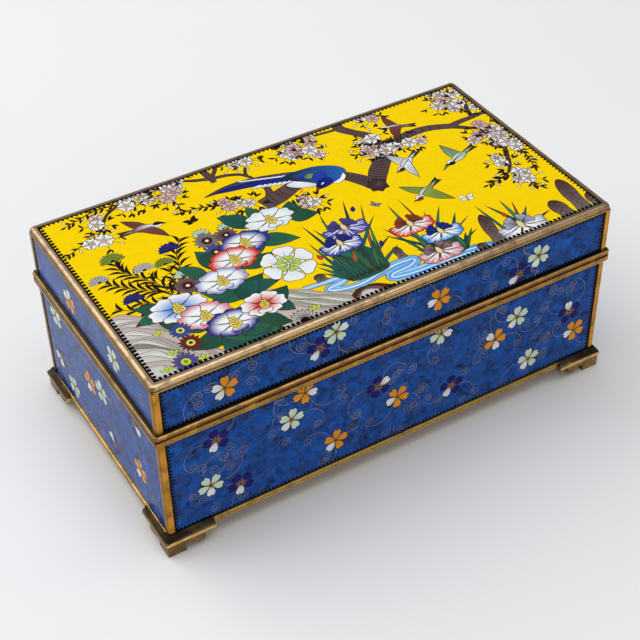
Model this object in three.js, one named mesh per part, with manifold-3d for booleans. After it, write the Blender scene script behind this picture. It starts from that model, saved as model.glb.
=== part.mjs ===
// A cloisonne enamel box: flat enamelled panels held in a brass frame on four bracket feet,
// with a lift-off lid. Millimetres, +Z up, front towards -Y, origin on the floor under the centre.

import * as THREE from 'three';
import { mergeVertices } from 'three/addons/utils/BufferGeometryUtils.js';
import ManifoldModule from 'manifold-3d';

const wasm = await ManifoldModule();
wasm.setup();

// Driving dimensions of the whole box
const LENGTH = 180; // over the wall faces, along X
const WIDTH = 98; // over the wall faces, along Y
const FOOT_HEIGHT = 6.1; // under the floor plate
const PLATE_HEIGHT = 1.9;
const BASE_WALL_HEIGHT = 42.8;
const BASE_RIM_HEIGHT = 2.7;
const LID_RIM_HEIGHT = 2.1;
const LID_WALL_HEIGHT = 17.5;
const TOP_FRAME_HEIGHT = 2.4;

// Enamelled panels and the posts that hold them
const PANEL_THICKNESS = 2;
const PANEL_SETBACK = 0.3; // panel face behind the post face
const TOP_PANEL_THICKNESS = 1.6;
const POST_SIZE = 2.4;
const POST_ARRIS_RADIUS = 0.8;

// Floor plate, rims and top frame
const PLATE_OUTSET = 0.3;
const PLATE_CORNER_RADIUS = 1.2;
const RIM_OUTSET = 1.2;
const RIM_CORNER_RADIUS = 1.5; // at the outer edge
const RIM_EDGE_RADIUS = 0.7;
const LIP_CLEARANCE = 0.3; // between the locating lip and the lid
const LIP_THICKNESS = 1;
const LIP_HEIGHT = 1.8; // above the seam
const TOP_LEDGE_WIDTH = 1;
const TOP_LEDGE_HEIGHT = 0.5;
const TOP_CORNER_RADIUS = 1;
const TOP_ROUND_RADIUS = 1.2;
const TOP_STRIP_HEIGHT = 0.8; // the plain strip under the groove
const TOP_GROOVE_WIDTH = 0.35;
const TOP_GROOVE_DEPTH = 0.3;

// Bracket feet, measured outwards from the wall corner and along each wing
const FOOT_OUTSET = 2.3;
const FOOT_REACH = 16.6;
const FOOT_CORNER_RADIUS = 1.2;
const FOOT_INNER_WIDTH = 5;
const FOOT_LIP_HEIGHT = 1.7;
const FOOT_LIP_TOP = 6.8;
const FOOT_COLLAR_TOP = 9; // where the sloping collar meets the wall
const APRON_OUTSET = 1.6;
const APRON_THICKNESS = 3;
const APRON_TOP = 5.6; // buried in the foot's plate
const APRON_BLOCK_REACH = 5.2;
const APRON_STEP_HEIGHT = 3.1;
const APRON_LOBE_START = 6.6;
const APRON_LOBE_HEIGHT = 1.6;
const APRON_LOBE_REACH = 12.6;

const ARC_STEPS = 4;
const MERGE_DISTANCE = 1e-4;

// Heights that follow from the driving dimensions
const PLATE_TOP = FOOT_HEIGHT + PLATE_HEIGHT;
const BASE_WALL_TOP = PLATE_TOP + BASE_WALL_HEIGHT;
const SEAM_HEIGHT = BASE_WALL_TOP + BASE_RIM_HEIGHT;
const LID_WALL_TOP = LID_RIM_HEIGHT + LID_WALL_HEIGHT; // above the seam

const brass = new THREE.MeshStandardMaterial({ color: 0xc8963c, roughness: 0.35, metalness: 1 });
const blueEnamel = new THREE.MeshStandardMaterial({ color: 0x1e3e8c, roughness: 0.15, metalness: 0 });
const yellowEnamel = new THREE.MeshStandardMaterial({ color: 0xffd600, roughness: 0.12, metalness: 0 });

// The four walls in order round the box, with the wall's span and its distance from the centre
const SIDES = [
  { name: 'front', turns: 0, span: LENGTH, reach: WIDTH / 2 },
  { name: 'right', turns: 1, span: WIDTH, reach: LENGTH / 2 },
  { name: 'back', turns: 2, span: LENGTH, reach: WIDTH / 2 },
  { name: 'left', turns: 3, span: WIDTH, reach: LENGTH / 2 },
];

// The four corners in the same order, each a quarter turn on from the last
const CORNERS = [
  { name: 'front_left', turns: 0, x: -LENGTH / 2, y: -WIDTH / 2 },
  { name: 'front_right', turns: 1, x: LENGTH / 2, y: -WIDTH / 2 },
  { name: 'back_right', turns: 2, x: LENGTH / 2, y: WIDTH / 2 },
  { name: 'back_left', turns: 3, x: -LENGTH / 2, y: WIDTH / 2 },
];

// Shared helpers for closed meshes

function signedVolume(geometry) {
  const position = geometry.getAttribute('position');
  const index = geometry.getIndex();
  const [a, b, c] = [new THREE.Vector3(), new THREE.Vector3(), new THREE.Vector3()];
  let volume = 0;
  for (let i = 0; i < index.count; i += 3) {
    a.fromBufferAttribute(position, index.getX(i));
    b.fromBufferAttribute(position, index.getX(i + 1));
    c.fromBufferAttribute(position, index.getX(i + 2));
    volume += a.dot(b.cross(c)) / 6;
  }
  return volume;
}

// Merges shared vertices, drops collapsed triangles and turns the faces outwards
function closedGeometry(source) {
  const bare = source.clone();
  bare.deleteAttribute('normal');
  bare.deleteAttribute('uv');
  const merged = mergeVertices(bare, MERGE_DISTANCE);
  const old = merged.getIndex();
  const kept = [];
  for (let i = 0; i < old.count; i += 3) {
    const [a, b, c] = [old.getX(i), old.getX(i + 1), old.getX(i + 2)];
    if (a !== b && b !== c && c !== a) {
      kept.push(a, b, c);
    }
  }
  merged.setIndex(kept);
  if (signedVolume(merged) < 0) {
    kept.reverse();
    merged.setIndex(kept);
  }
  return merged;
}

function finished(geometry) {
  const flat = closedGeometry(geometry).toNonIndexed();
  flat.computeVertexNormals();
  return flat;
}

function toSolid(geometry) {
  const closed = closedGeometry(geometry);
  return new wasm.Manifold(
    new wasm.Mesh({
      numProp: 3,
      vertProperties: Float32Array.from(closed.getAttribute('position').array),
      triVerts: Uint32Array.from(closed.getIndex().array),
    }),
  );
}

function fromSolid(solid) {
  const mesh = solid.getMesh();
  const geometry = new THREE.BufferGeometry();
  geometry.setAttribute('position', new THREE.Float32BufferAttribute(mesh.vertProperties, 3));
  geometry.setIndex(Array.from(mesh.triVerts));
  return geometry;
}

function addMesh(group, name, geometry, material) {
  const mesh = new THREE.Mesh(finished(geometry), material);
  mesh.name = name;
  group.add(mesh);
  return mesh;
}

// Sweeps: a profile of (outset, height) points carried round the wall line

// The profile at one point of a corner, where direction is the outward angle there
function cornerRing(profile, corner, signX, signY, direction, radiusAtWall) {
  return profile.map(({ x: outset, y: height }) => {
    const radius = Math.max(0, radiusAtWall + outset);
    const x = corner.x + signX * (outset - radius) + radius * Math.cos(direction);
    const y = corner.y + signY * (outset - radius) + radius * Math.sin(direction);
    return new THREE.Vector3(x, y, height);
  });
}

// Rings round one corner, turning anticlockwise by a quarter turn
function cornerRings(profile, corner, radiusAtWall) {
  const start = Math.PI + (corner.turns * Math.PI) / 2;
  const middle = start + Math.PI / 4;
  const signX = Math.sign(Math.cos(middle));
  const signY = Math.sign(Math.sin(middle));
  const rings = [];
  for (let step = 0; step <= ARC_STEPS; step += 1) {
    const direction = start + (step / ARC_STEPS) * (Math.PI / 2);
    rings.push(cornerRing(profile, corner, signX, signY, direction, radiusAtWall));
  }
  return rings;
}

function skinRings(rings, profile, isLoop) {
  const size = profile.length;
  const positions = rings.flat().flatMap((point) => point.toArray());
  const index = [];
  const joints = isLoop ? rings.length : rings.length - 1;
  for (let ring = 0; ring < joints; ring += 1) {
    const next = (ring + 1) % rings.length;
    for (let point = 0; point < size; point += 1) {
      const beside = (point + 1) % size;
      const [a, b] = [ring * size + point, ring * size + beside];
      const [c, d] = [next * size + point, next * size + beside];
      index.push(a, c, b, b, c, d);
    }
  }
  if (!isLoop) {
    const last = (rings.length - 1) * size;
    for (const [a, b, c] of THREE.ShapeUtils.triangulateShape(profile, [])) {
      index.push(a, b, c, last + a, last + c, last + b);
    }
  }
  const geometry = new THREE.BufferGeometry();
  geometry.setAttribute('position', new THREE.Float32BufferAttribute(positions, 3));
  geometry.setIndex(index);
  return geometry;
}

// Points of a shape drawn as (outset, height), anticlockwise
function profilePoints(draw) {
  const shape = new THREE.Shape();
  draw(shape);
  const points = shape.extractPoints(ARC_STEPS).shape;
  return THREE.ShapeUtils.isClockWise(points) ? points.reverse() : points;
}

function mouldingRing(profile, outerOutset, outerRadius) {
  const rings = CORNERS.flatMap((corner) => cornerRings(profile, corner, outerRadius - outerOutset));
  return skinRings(rings, profile, true);
}

// Walls and posts

function addWalls(group, prefix, floor, height) {
  for (const side of SIDES) {
    const geometry = new THREE.BoxGeometry(side.span - 2 * POST_SIZE, PANEL_THICKNESS, height);
    const mesh = addMesh(group, `${prefix}_${side.name}_panel`, geometry, blueEnamel);
    const angle = (side.turns * Math.PI) / 2;
    const distance = side.reach - PANEL_SETBACK - PANEL_THICKNESS / 2;
    mesh.rotation.z = angle;
    mesh.position.set(Math.sin(angle) * distance, -Math.cos(angle) * distance, floor + height / 2);
  }
}

// A square post with its outer arris rounded, standing with that arris at the origin
function postGeometry(height) {
  const shape = new THREE.Shape();
  shape.moveTo(POST_SIZE, 0);
  shape.lineTo(POST_SIZE, POST_SIZE);
  shape.lineTo(0, POST_SIZE);
  shape.absarc(POST_ARRIS_RADIUS, POST_ARRIS_RADIUS, POST_ARRIS_RADIUS, Math.PI, 1.5 * Math.PI);
  return new THREE.ExtrudeGeometry(shape, {
    depth: height,
    bevelEnabled: false,
    curveSegments: ARC_STEPS,
  });
}

function addPosts(group, prefix, floor, height) {
  for (const corner of CORNERS) {
    const mesh = addMesh(group, `${prefix}_post_${corner.name}`, postGeometry(height), brass);
    mesh.rotation.z = (corner.turns * Math.PI) / 2;
    mesh.position.set(corner.x, corner.y, floor);
  }
}

// Floor plate, rims and top frame

function floorPlate() {
  const half = { x: LENGTH / 2 + PLATE_OUTSET, y: WIDTH / 2 + PLATE_OUTSET };
  const shape = new THREE.Shape();
  for (const corner of CORNERS) {
    const centreX = Math.sign(corner.x) * (half.x - PLATE_CORNER_RADIUS);
    const centreY = Math.sign(corner.y) * (half.y - PLATE_CORNER_RADIUS);
    const start = Math.PI + (corner.turns * Math.PI) / 2;
    shape.absarc(centreX, centreY, PLATE_CORNER_RADIUS, start, start + Math.PI / 2);
  }
  return new THREE.ExtrudeGeometry(shape, {
    depth: PLATE_HEIGHT,
    bevelEnabled: false,
    curveSegments: ARC_STEPS,
  });
}

// Outer half of a rim: a flat ledge with both outer edges rounded
function rimOutside(shape, bottom, top) {
  const centre = RIM_OUTSET - RIM_EDGE_RADIUS;
  shape.lineTo(centre, bottom);
  shape.absarc(centre, bottom + RIM_EDGE_RADIUS, RIM_EDGE_RADIUS, -Math.PI / 2, 0);
  shape.absarc(centre, top - RIM_EDGE_RADIUS, RIM_EDGE_RADIUS, 0, Math.PI / 2);
}

// The base rim carries the lip that keeps the lid in place
function baseRim() {
  const lipOuter = -POST_SIZE - LIP_CLEARANCE;
  const lipInner = lipOuter - LIP_THICKNESS;
  const profile = profilePoints((shape) => {
    shape.moveTo(lipInner, 0);
    rimOutside(shape, 0, BASE_RIM_HEIGHT);
    shape.lineTo(lipOuter, BASE_RIM_HEIGHT);
    shape.lineTo(lipOuter, BASE_RIM_HEIGHT + LIP_HEIGHT);
    shape.lineTo(lipInner, BASE_RIM_HEIGHT + LIP_HEIGHT);
  });
  return mouldingRing(profile, RIM_OUTSET, RIM_CORNER_RADIUS);
}

function lidRim() {
  const profile = profilePoints((shape) => {
    shape.moveTo(-POST_SIZE, 0);
    rimOutside(shape, 0, LID_RIM_HEIGHT);
    shape.lineTo(-POST_SIZE, LID_RIM_HEIGHT);
  });
  return mouldingRing(profile, RIM_OUTSET, RIM_CORNER_RADIUS);
}

// A plain strip, a groove and a rounded band on the outside, a flat crown, and a ledge under the top panel
function topFrame() {
  const top = TOP_FRAME_HEIGHT;
  const profile = profilePoints((shape) => {
    shape.moveTo(-POST_SIZE - TOP_LEDGE_WIDTH, 0);
    shape.lineTo(0, 0);
    shape.lineTo(0, TOP_STRIP_HEIGHT);
    shape.lineTo(-TOP_GROOVE_DEPTH, TOP_STRIP_HEIGHT + TOP_GROOVE_WIDTH / 2);
    shape.lineTo(0, TOP_STRIP_HEIGHT + TOP_GROOVE_WIDTH);
    shape.absarc(-TOP_ROUND_RADIUS, top - TOP_ROUND_RADIUS, TOP_ROUND_RADIUS, 0, Math.PI / 2);
    shape.lineTo(-POST_SIZE, top);
    shape.lineTo(-POST_SIZE, TOP_LEDGE_HEIGHT);
    shape.lineTo(-POST_SIZE - TOP_LEDGE_WIDTH, TOP_LEDGE_HEIGHT);
  });
  return mouldingRing(profile, 0, TOP_CORNER_RADIUS);
}

// Bracket feet

// The L-shaped plate of one foot, sloping down to a rounded lip, with the wall corner at the origin
function footPlate() {
  const lipRadius = FOOT_LIP_HEIGHT / 2;
  const lipCentre = FOOT_OUTSET - lipRadius;
  const lipMiddle = FOOT_LIP_TOP - lipRadius;
  const profile = profilePoints((shape) => {
    shape.moveTo(-FOOT_INNER_WIDTH, FOOT_LIP_TOP - FOOT_LIP_HEIGHT);
    shape.lineTo(lipCentre, FOOT_LIP_TOP - FOOT_LIP_HEIGHT);
    shape.absarc(lipCentre, lipMiddle, lipRadius, -Math.PI / 2, Math.PI / 2);
    shape.lineTo(PLATE_OUTSET, FOOT_COLLAR_TOP);
    shape.lineTo(PLATE_OUTSET, FOOT_HEIGHT);
    shape.lineTo(-FOOT_INNER_WIDTH, FOOT_HEIGHT);
  });
  const corner = { turns: 0, x: 0, y: 0 };
  const sideEnd = profile.map(({ x: outset, y: height }) => new THREE.Vector3(-outset, FOOT_REACH, height));
  const frontEnd = profile.map(({ x: outset, y: height }) => new THREE.Vector3(FOOT_REACH, -outset, height));
  const turn = cornerRings(profile, corner, FOOT_CORNER_RADIUS - FOOT_OUTSET);
  return skinRings([sideEnd, ...turn, frontEnd], profile, false);
}

// The apron under the front wing: a corner block, a step and a hanging lobe
function footApron() {
  const lobeMiddle = (APRON_LOBE_START + APRON_LOBE_REACH) / 2;
  const shape = new THREE.Shape();
  shape.moveTo(-APRON_OUTSET, 0);
  shape.lineTo(APRON_BLOCK_REACH, 0);
  shape.lineTo(APRON_BLOCK_REACH, APRON_STEP_HEIGHT);
  shape.lineTo(APRON_LOBE_START, APRON_STEP_HEIGHT);
  shape.quadraticCurveTo(lobeMiddle, APRON_LOBE_HEIGHT, APRON_LOBE_REACH, APRON_LOBE_HEIGHT);
  shape.lineTo(APRON_LOBE_REACH, APRON_TOP);
  shape.lineTo(-APRON_OUTSET, APRON_TOP);
  const geometry = new THREE.ExtrudeGeometry(shape, {
    depth: APRON_THICKNESS,
    bevelEnabled: false,
    curveSegments: ARC_STEPS,
  });
  geometry.rotateX(Math.PI / 2);
  geometry.translate(0, APRON_THICKNESS - APRON_OUTSET, 0);
  return geometry;
}

function footGeometry() {
  const acrossDiagonal = new THREE.Matrix4().set(0, 1, 0, 0, 1, 0, 0, 0, 0, 0, 1, 0, 0, 0, 0, 1);
  const frontApron = footApron();
  const sideApron = frontApron.clone().applyMatrix4(acrossDiagonal);
  return fromSolid(toSolid(footPlate()).add(toSolid(frontApron)).add(toSolid(sideApron)));
}

function addFeet(group) {
  for (const corner of CORNERS) {
    const mesh = addMesh(group, `foot_${corner.name}`, footGeometry(), brass);
    mesh.rotation.z = (corner.turns * Math.PI) / 2;
    mesh.position.set(corner.x, corner.y, 0);
  }
}

// The base, from the floor to the seam

const base = new THREE.Group();
addFeet(base);
addMesh(base, 'base_plate', floorPlate(), brass).position.z = FOOT_HEIGHT;
addWalls(base, 'base', PLATE_TOP, BASE_WALL_HEIGHT);
addPosts(base, 'base', PLATE_TOP, BASE_WALL_HEIGHT);
addMesh(base, 'base_rim', baseRim(), brass).position.z = BASE_WALL_TOP;

// The lid, resting on the base rim, with its heights measured from the seam

const lid = new THREE.Group();
lid.position.z = SEAM_HEIGHT;
addMesh(lid, 'lid_rim', lidRim(), brass);
addWalls(lid, 'lid', LID_RIM_HEIGHT, LID_WALL_HEIGHT);
addPosts(lid, 'lid', LID_RIM_HEIGHT, LID_WALL_HEIGHT);
addMesh(lid, 'lid_top_frame', topFrame(), brass).position.z = LID_WALL_TOP;

const topPanel = new THREE.BoxGeometry(LENGTH - 2 * POST_SIZE, WIDTH - 2 * POST_SIZE, TOP_PANEL_THICKNESS);
const topPanelMiddle = LID_WALL_TOP + TOP_LEDGE_HEIGHT + TOP_PANEL_THICKNESS / 2;
addMesh(lid, 'lid_top_panel', topPanel, yellowEnamel).position.z = topPanelMiddle;

const box = new THREE.Group();
box.add(base, lid);

export default box;
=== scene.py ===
import math
import random

import bmesh
import bpy
from mathutils import Matrix, Vector
from mathutils.geometry import delaunay_2d_cdt


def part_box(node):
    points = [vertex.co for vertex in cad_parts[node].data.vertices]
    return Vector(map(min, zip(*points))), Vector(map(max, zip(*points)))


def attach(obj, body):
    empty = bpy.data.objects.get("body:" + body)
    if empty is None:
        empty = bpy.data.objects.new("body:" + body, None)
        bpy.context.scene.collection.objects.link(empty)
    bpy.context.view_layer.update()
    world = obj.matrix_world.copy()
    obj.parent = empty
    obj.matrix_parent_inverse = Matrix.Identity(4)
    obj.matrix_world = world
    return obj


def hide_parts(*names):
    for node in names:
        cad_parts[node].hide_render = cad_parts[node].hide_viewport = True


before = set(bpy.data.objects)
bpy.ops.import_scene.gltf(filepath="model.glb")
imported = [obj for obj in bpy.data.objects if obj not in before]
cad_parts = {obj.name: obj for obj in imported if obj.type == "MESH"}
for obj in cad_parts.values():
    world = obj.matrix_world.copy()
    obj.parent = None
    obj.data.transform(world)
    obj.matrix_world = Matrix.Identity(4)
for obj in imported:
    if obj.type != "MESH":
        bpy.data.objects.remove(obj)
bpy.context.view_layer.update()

bl_info = {
    "name": "Cloisonne Enamel Box",
    "version": (1, 0, 0),
    "blender": (4, 5, 0),
    "location": "View3D > Sidebar > Enamel Box",
    "description": "Dresses a lidded box in gilt brass mounts and cloisonne enamel",
    "category": "Add Mesh",
}

MM = 0.001
BODY = "root"
SIDES = ("front", "right", "back", "left")
CORNERS = ("front_left", "front_right", "back_right", "back_left")

# Faces of the walls and heights of the bands, read from the frame
WALL_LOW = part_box("base_post_front_left")[0]
WALL_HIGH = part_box("base_post_back_right")[1]
POST_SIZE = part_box("base_post_front_left")[1].x - WALL_LOW.x
SEAM_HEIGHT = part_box("lid_rim")[0].z
LID_LENGTH = (WALL_HIGH.x - WALL_LOW.x) / MM
LID_WIDTH = (WALL_HIGH.y - WALL_LOW.y) / MM
LIP_GAP = 0.3 * MM
LIP_WIDTH = 1.0 * MM


# Settings


class MountSettings(bpy.types.PropertyGroup):
    """Sizes and colours of the brass mounts."""

    arris: bpy.props.FloatProperty(
        name="Post Arris", description="Radius of the posts' outer edge", default=0.8 * MM, unit="LENGTH"
    )
    rim_edge: bpy.props.FloatProperty(
        name="Rim Edge", description="Radius of the rims' outer edges", default=0.7 * MM, unit="LENGTH"
    )
    rim_corner: bpy.props.FloatProperty(
        name="Rim Corner", description="Radius of the rims' corners", default=1.5 * MM, unit="LENGTH"
    )
    wobble: bpy.props.FloatProperty(
        name="Wobble", description="How far the hand-filed metal wanders", default=0.1 * MM, unit="LENGTH"
    )
    gilt: bpy.props.FloatVectorProperty(
        name="Gilt", description="Bright gilding", default=(0.68, 0.38, 0.08), subtype="COLOR", size=3
    )
    patina: bpy.props.FloatVectorProperty(
        name="Patina", description="Brown tarnish in the hollows", default=(0.13, 0.07, 0.03), subtype="COLOR", size=3
    )


class EnamelSettings(bpy.types.PropertyGroup):
    """Sizes and colours of the cloisonne work."""

    wire_width: bpy.props.FloatProperty(
        name="Wire Width", description="Thickness of the picture's wires", default=0.26 * MM, unit="LENGTH"
    )
    scroll_width: bpy.props.FloatProperty(
        name="Scroll Width", description="Thickness of the scroll wires", default=0.17 * MM, unit="LENGTH"
    )
    dot_pitch: bpy.props.FloatProperty(
        name="Dot Pitch", description="Distance between the border's dots", default=1.75 * MM, unit="LENGTH"
    )
    deep_blue: bpy.props.FloatVectorProperty(
        name="Deep Blue", description="Darkest clouds of the side ground", default=(0.005, 0.017, 0.085), subtype="COLOR", size=3
    )
    bright_blue: bpy.props.FloatVectorProperty(
        name="Bright Blue", description="Brightest clouds of the side ground", default=(0.008, 0.115, 0.52), subtype="COLOR", size=3
    )
    slate_blue: bpy.props.FloatVectorProperty(
        name="Slate Blue", description="Greyish clouds of the side ground", default=(0.045, 0.065, 0.16), subtype="COLOR", size=3
    )


class StageSettings(bpy.types.PropertyGroup):
    """Camera, floor and lights."""

    azimuth: bpy.props.FloatProperty(
        name="Azimuth", description="Camera's bearing, 0 looks along +Y", default=math.radians(-30.17), subtype="ANGLE"
    )
    elevation: bpy.props.FloatProperty(
        name="Elevation", description="Camera's height above the horizon", default=math.radians(40.57), subtype="ANGLE"
    )
    roll: bpy.props.FloatProperty(
        name="Roll", description="Camera's tilt about its own axis", default=math.radians(-1.23), subtype="ANGLE"
    )
    distance: bpy.props.FloatProperty(
        name="Distance", description="From the camera to the aim point", default=0.5361, unit="LENGTH"
    )
    aim_height: bpy.props.FloatProperty(
        name="Aim Height", description="Height of the aim point", default=0.036, unit="LENGTH"
    )
    slide: bpy.props.FloatVectorProperty(
        name="Slide", description="Camera's shift to the right and up", default=(-0.00104, -0.0067), size=2, unit="LENGTH"
    )
    lens: bpy.props.FloatProperty(name="Lens", description="Focal length in millimetres", default=82.07)
    floor_colour: bpy.props.FloatVectorProperty(
        name="Floor", description="Pale studio floor", default=(0.97, 0.97, 0.97), subtype="COLOR", size=3
    )


# Modelling helpers


def deselect_all():
    if bpy.context.object is not None and bpy.context.object.mode != "OBJECT":
        bpy.ops.object.mode_set(mode="OBJECT")
    bpy.ops.object.select_all(action="DESELECT")


def take_up(piece):
    """Makes a piece the only selected and the active object."""
    deselect_all()
    piece.select_set(True)
    bpy.context.view_layer.objects.active = piece


def set_size(piece, name, size):
    piece.name = name
    piece.data.name = name
    piece.scale = size
    bpy.ops.object.transform_apply(location=True, rotation=True, scale=True)


def new_block(name, low, high):
    """A cube primitive from corner to corner, left in edit mode."""
    deselect_all()
    bpy.ops.mesh.primitive_cube_add(size=1, location=(Vector(low) + Vector(high)) / 2)
    piece = bpy.context.object
    set_size(piece, name, Vector(high) - Vector(low))
    bpy.ops.object.mode_set(mode="EDIT")
    return piece


def pick(kind, test):
    """Selects the parts of the mesh being edited that pass test(place, direction)."""
    bpy.ops.mesh.select_mode(type=kind)
    bpy.ops.mesh.select_all(action="DESELECT")
    mesh = bmesh.from_edit_mesh(bpy.context.edit_object.data)
    if kind == "VERT":
        found = [v for v in mesh.verts if test(v.co, v.normal)]
    elif kind == "EDGE":
        ends = [(e, e.verts[0].co, e.verts[1].co) for e in mesh.edges]
        found = [e for e, a, b in ends if test((a + b) / 2, (b - a).normalized())]
    else:
        found = [f for f in mesh.faces if test(f.calc_center_median(), f.normal)]
    for item in found:
        item.select_set(True)
    mesh.select_flush_mode()
    bmesh.update_edit_mesh(bpy.context.edit_object.data)
    return len(found)


def depth_in(place, outset, radius):
    """How far a place lies inside a rounded outline round the walls."""
    x = abs(place.x) - (WALL_HIGH.x + outset - radius)
    y = abs(place.y) - (WALL_HIGH.y + outset - radius)
    return radius - math.hypot(max(x, 0), max(y, 0)) - min(max(x, y), 0)


def outset_of(place):
    """How far a place lies outside the wall faces."""
    return max(abs(place.x) - WALL_HIGH.x, abs(place.y) - WALL_HIGH.y)


def inset_of(place):
    """How far a place lies inside the nearer pair of wall faces."""
    return max(WALL_HIGH.x - abs(place.x), WALL_HIGH.y - abs(place.y))


def extrude(offset):
    bpy.ops.mesh.extrude_region_move(TRANSFORM_OT_translate={"value": tuple(offset)})


def round_edges(radius, segments):
    bpy.ops.mesh.bevel(offset_type="OFFSET", offset=radius, segments=segments, affect="EDGES", loop_slide=False)


def cut_long_edges(longest):
    """Cuts every edge longer than this, so that the metal can wander along its length."""
    for _ in range(8):
        mesh = bmesh.from_edit_mesh(bpy.context.edit_object.data)
        bpy.ops.mesh.select_mode(type="EDGE")
        bpy.ops.mesh.select_all(action="DESELECT")
        found = [e for e in mesh.edges if e.calc_length() > longest]
        if not found:
            break
        for edge in found:
            edge.select_set(True)
        bmesh.update_edit_mesh(bpy.context.edit_object.data)
        bpy.ops.mesh.subdivide(number_cuts=1)


def close_up():
    """Merges doubled points and turns the faces outwards, then leaves edit mode."""
    bpy.ops.mesh.select_all(action="SELECT")
    bpy.ops.mesh.remove_doubles(threshold=0.001 * MM)
    bpy.ops.mesh.normals_make_consistent(inside=False)
    bpy.ops.object.mode_set(mode="OBJECT")


def wander(piece, amount, grain):
    """Displaces a piece by a soft cloud, as hand work is never quite straight."""
    take_up(piece)
    cloud = bpy.data.textures.new(piece.name + "_cloud", "CLOUDS")
    cloud.noise_scale = grain
    modifier = piece.modifiers.new("Wander", "DISPLACE")
    modifier.texture = cloud
    modifier.texture_coords = "LOCAL"
    modifier.strength = amount
    modifier.mid_level = 0.5
    bpy.ops.object.modifier_apply(modifier=modifier.name)


def soften(piece, radius, segments=2):
    """A small bevel over every sharp edge."""
    take_up(piece)
    modifier = piece.modifiers.new("Soften", "BEVEL")
    modifier.width = radius
    modifier.segments = segments
    modifier.limit_method = "ANGLE"
    modifier.angle_limit = math.radians(40)
    modifier.harden_normals = False
    bpy.ops.object.modifier_apply(modifier=modifier.name)


def hand_over(piece, nodes, materials):
    """Gives a piece its finish and its place on the frame."""
    take_up(piece)
    bpy.ops.object.shade_smooth_by_angle(angle=math.radians(38))
    piece.data.materials.clear()
    for material in materials:
        piece.data.materials.append(material)
    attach(piece, BODY)
    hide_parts(*nodes)
    return piece


# Materials


def new_material(name):
    material = bpy.data.materials.new(name)
    material.use_nodes = True
    return material, material.node_tree, material.node_tree.nodes["Principled BSDF"]


def add_node(tree, kind, inputs=None, **options):
    node = tree.nodes.new(kind)
    for key, value in options.items():
        setattr(node, key, value)
    for key, value in (inputs or {}).items():
        if isinstance(value, bpy.types.NodeSocket):
            tree.links.new(value, node.inputs[key])
        else:
            node.inputs[key].default_value = value
    return node


def noise(tree, place, scale, detail=3.0, roughness=0.55, distortion=0.0):
    values = {"Vector": place, "Scale": scale, "Detail": detail, "Roughness": roughness, "Distortion": distortion}
    return add_node(tree, "ShaderNodeTexNoise", values).outputs["Fac"]


def remap(tree, value, low, high, first=0.0, last=1.0):
    values = {"Value": value, "From Min": low, "From Max": high, "To Min": first, "To Max": last}
    return add_node(tree, "ShaderNodeMapRange", values).outputs["Result"]


def blend(tree, share, first, last, mode="MIX"):
    node = add_node(tree, "ShaderNodeMix", data_type="RGBA", blend_type=mode)
    colours = [s for s in node.inputs if s.type == "RGBA"]
    for socket, value in ((node.inputs[0], share), (colours[0], first), (colours[1], last)):
        if isinstance(value, bpy.types.NodeSocket):
            tree.links.new(value, socket)
        elif isinstance(value, (int, float)):
            socket.default_value = value
        else:
            socket.default_value = (*value[:3], 1.0)
    return next(s for s in node.outputs if s.type == "RGBA")


def math_node(tree, operation, first, last):
    node = add_node(tree, "ShaderNodeMath", operation=operation)
    for socket, value in zip(node.inputs, (first, last)):
        if isinstance(value, bpy.types.NodeSocket):
            tree.links.new(value, socket)
        else:
            socket.default_value = value
    return node.outputs["Value"]


def add_bump(tree, shader, height, strength, distance):
    bump = add_node(tree, "ShaderNodeBump", {"Height": height, "Strength": strength, "Distance": distance})
    tree.links.new(bump.outputs["Normal"], shader.inputs["Normal"])


def object_place(tree):
    return add_node(tree, "ShaderNodeTexCoord").outputs["Object"]


def height_colour(tree, place, stops):
    """Colour that changes with the height, from places in millimetres and their colours."""
    height = add_node(tree, "ShaderNodeSeparateXYZ", {"Vector": place}).outputs["Z"]
    low, high = stops[0][0], stops[-1][0]
    ramp = add_node(tree, "ShaderNodeValToRGB", {"Fac": remap(tree, height, low * MM, high * MM)})
    elements = ramp.color_ramp.elements
    while len(elements) < len(stops):
        elements.new(0.5)
    for element, (stop, colour) in zip(elements, stops):
        element.position = (stop - low) / (high - low)
        element.color = (*colour, 1.0)
    return ramp.outputs["Color"]


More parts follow.
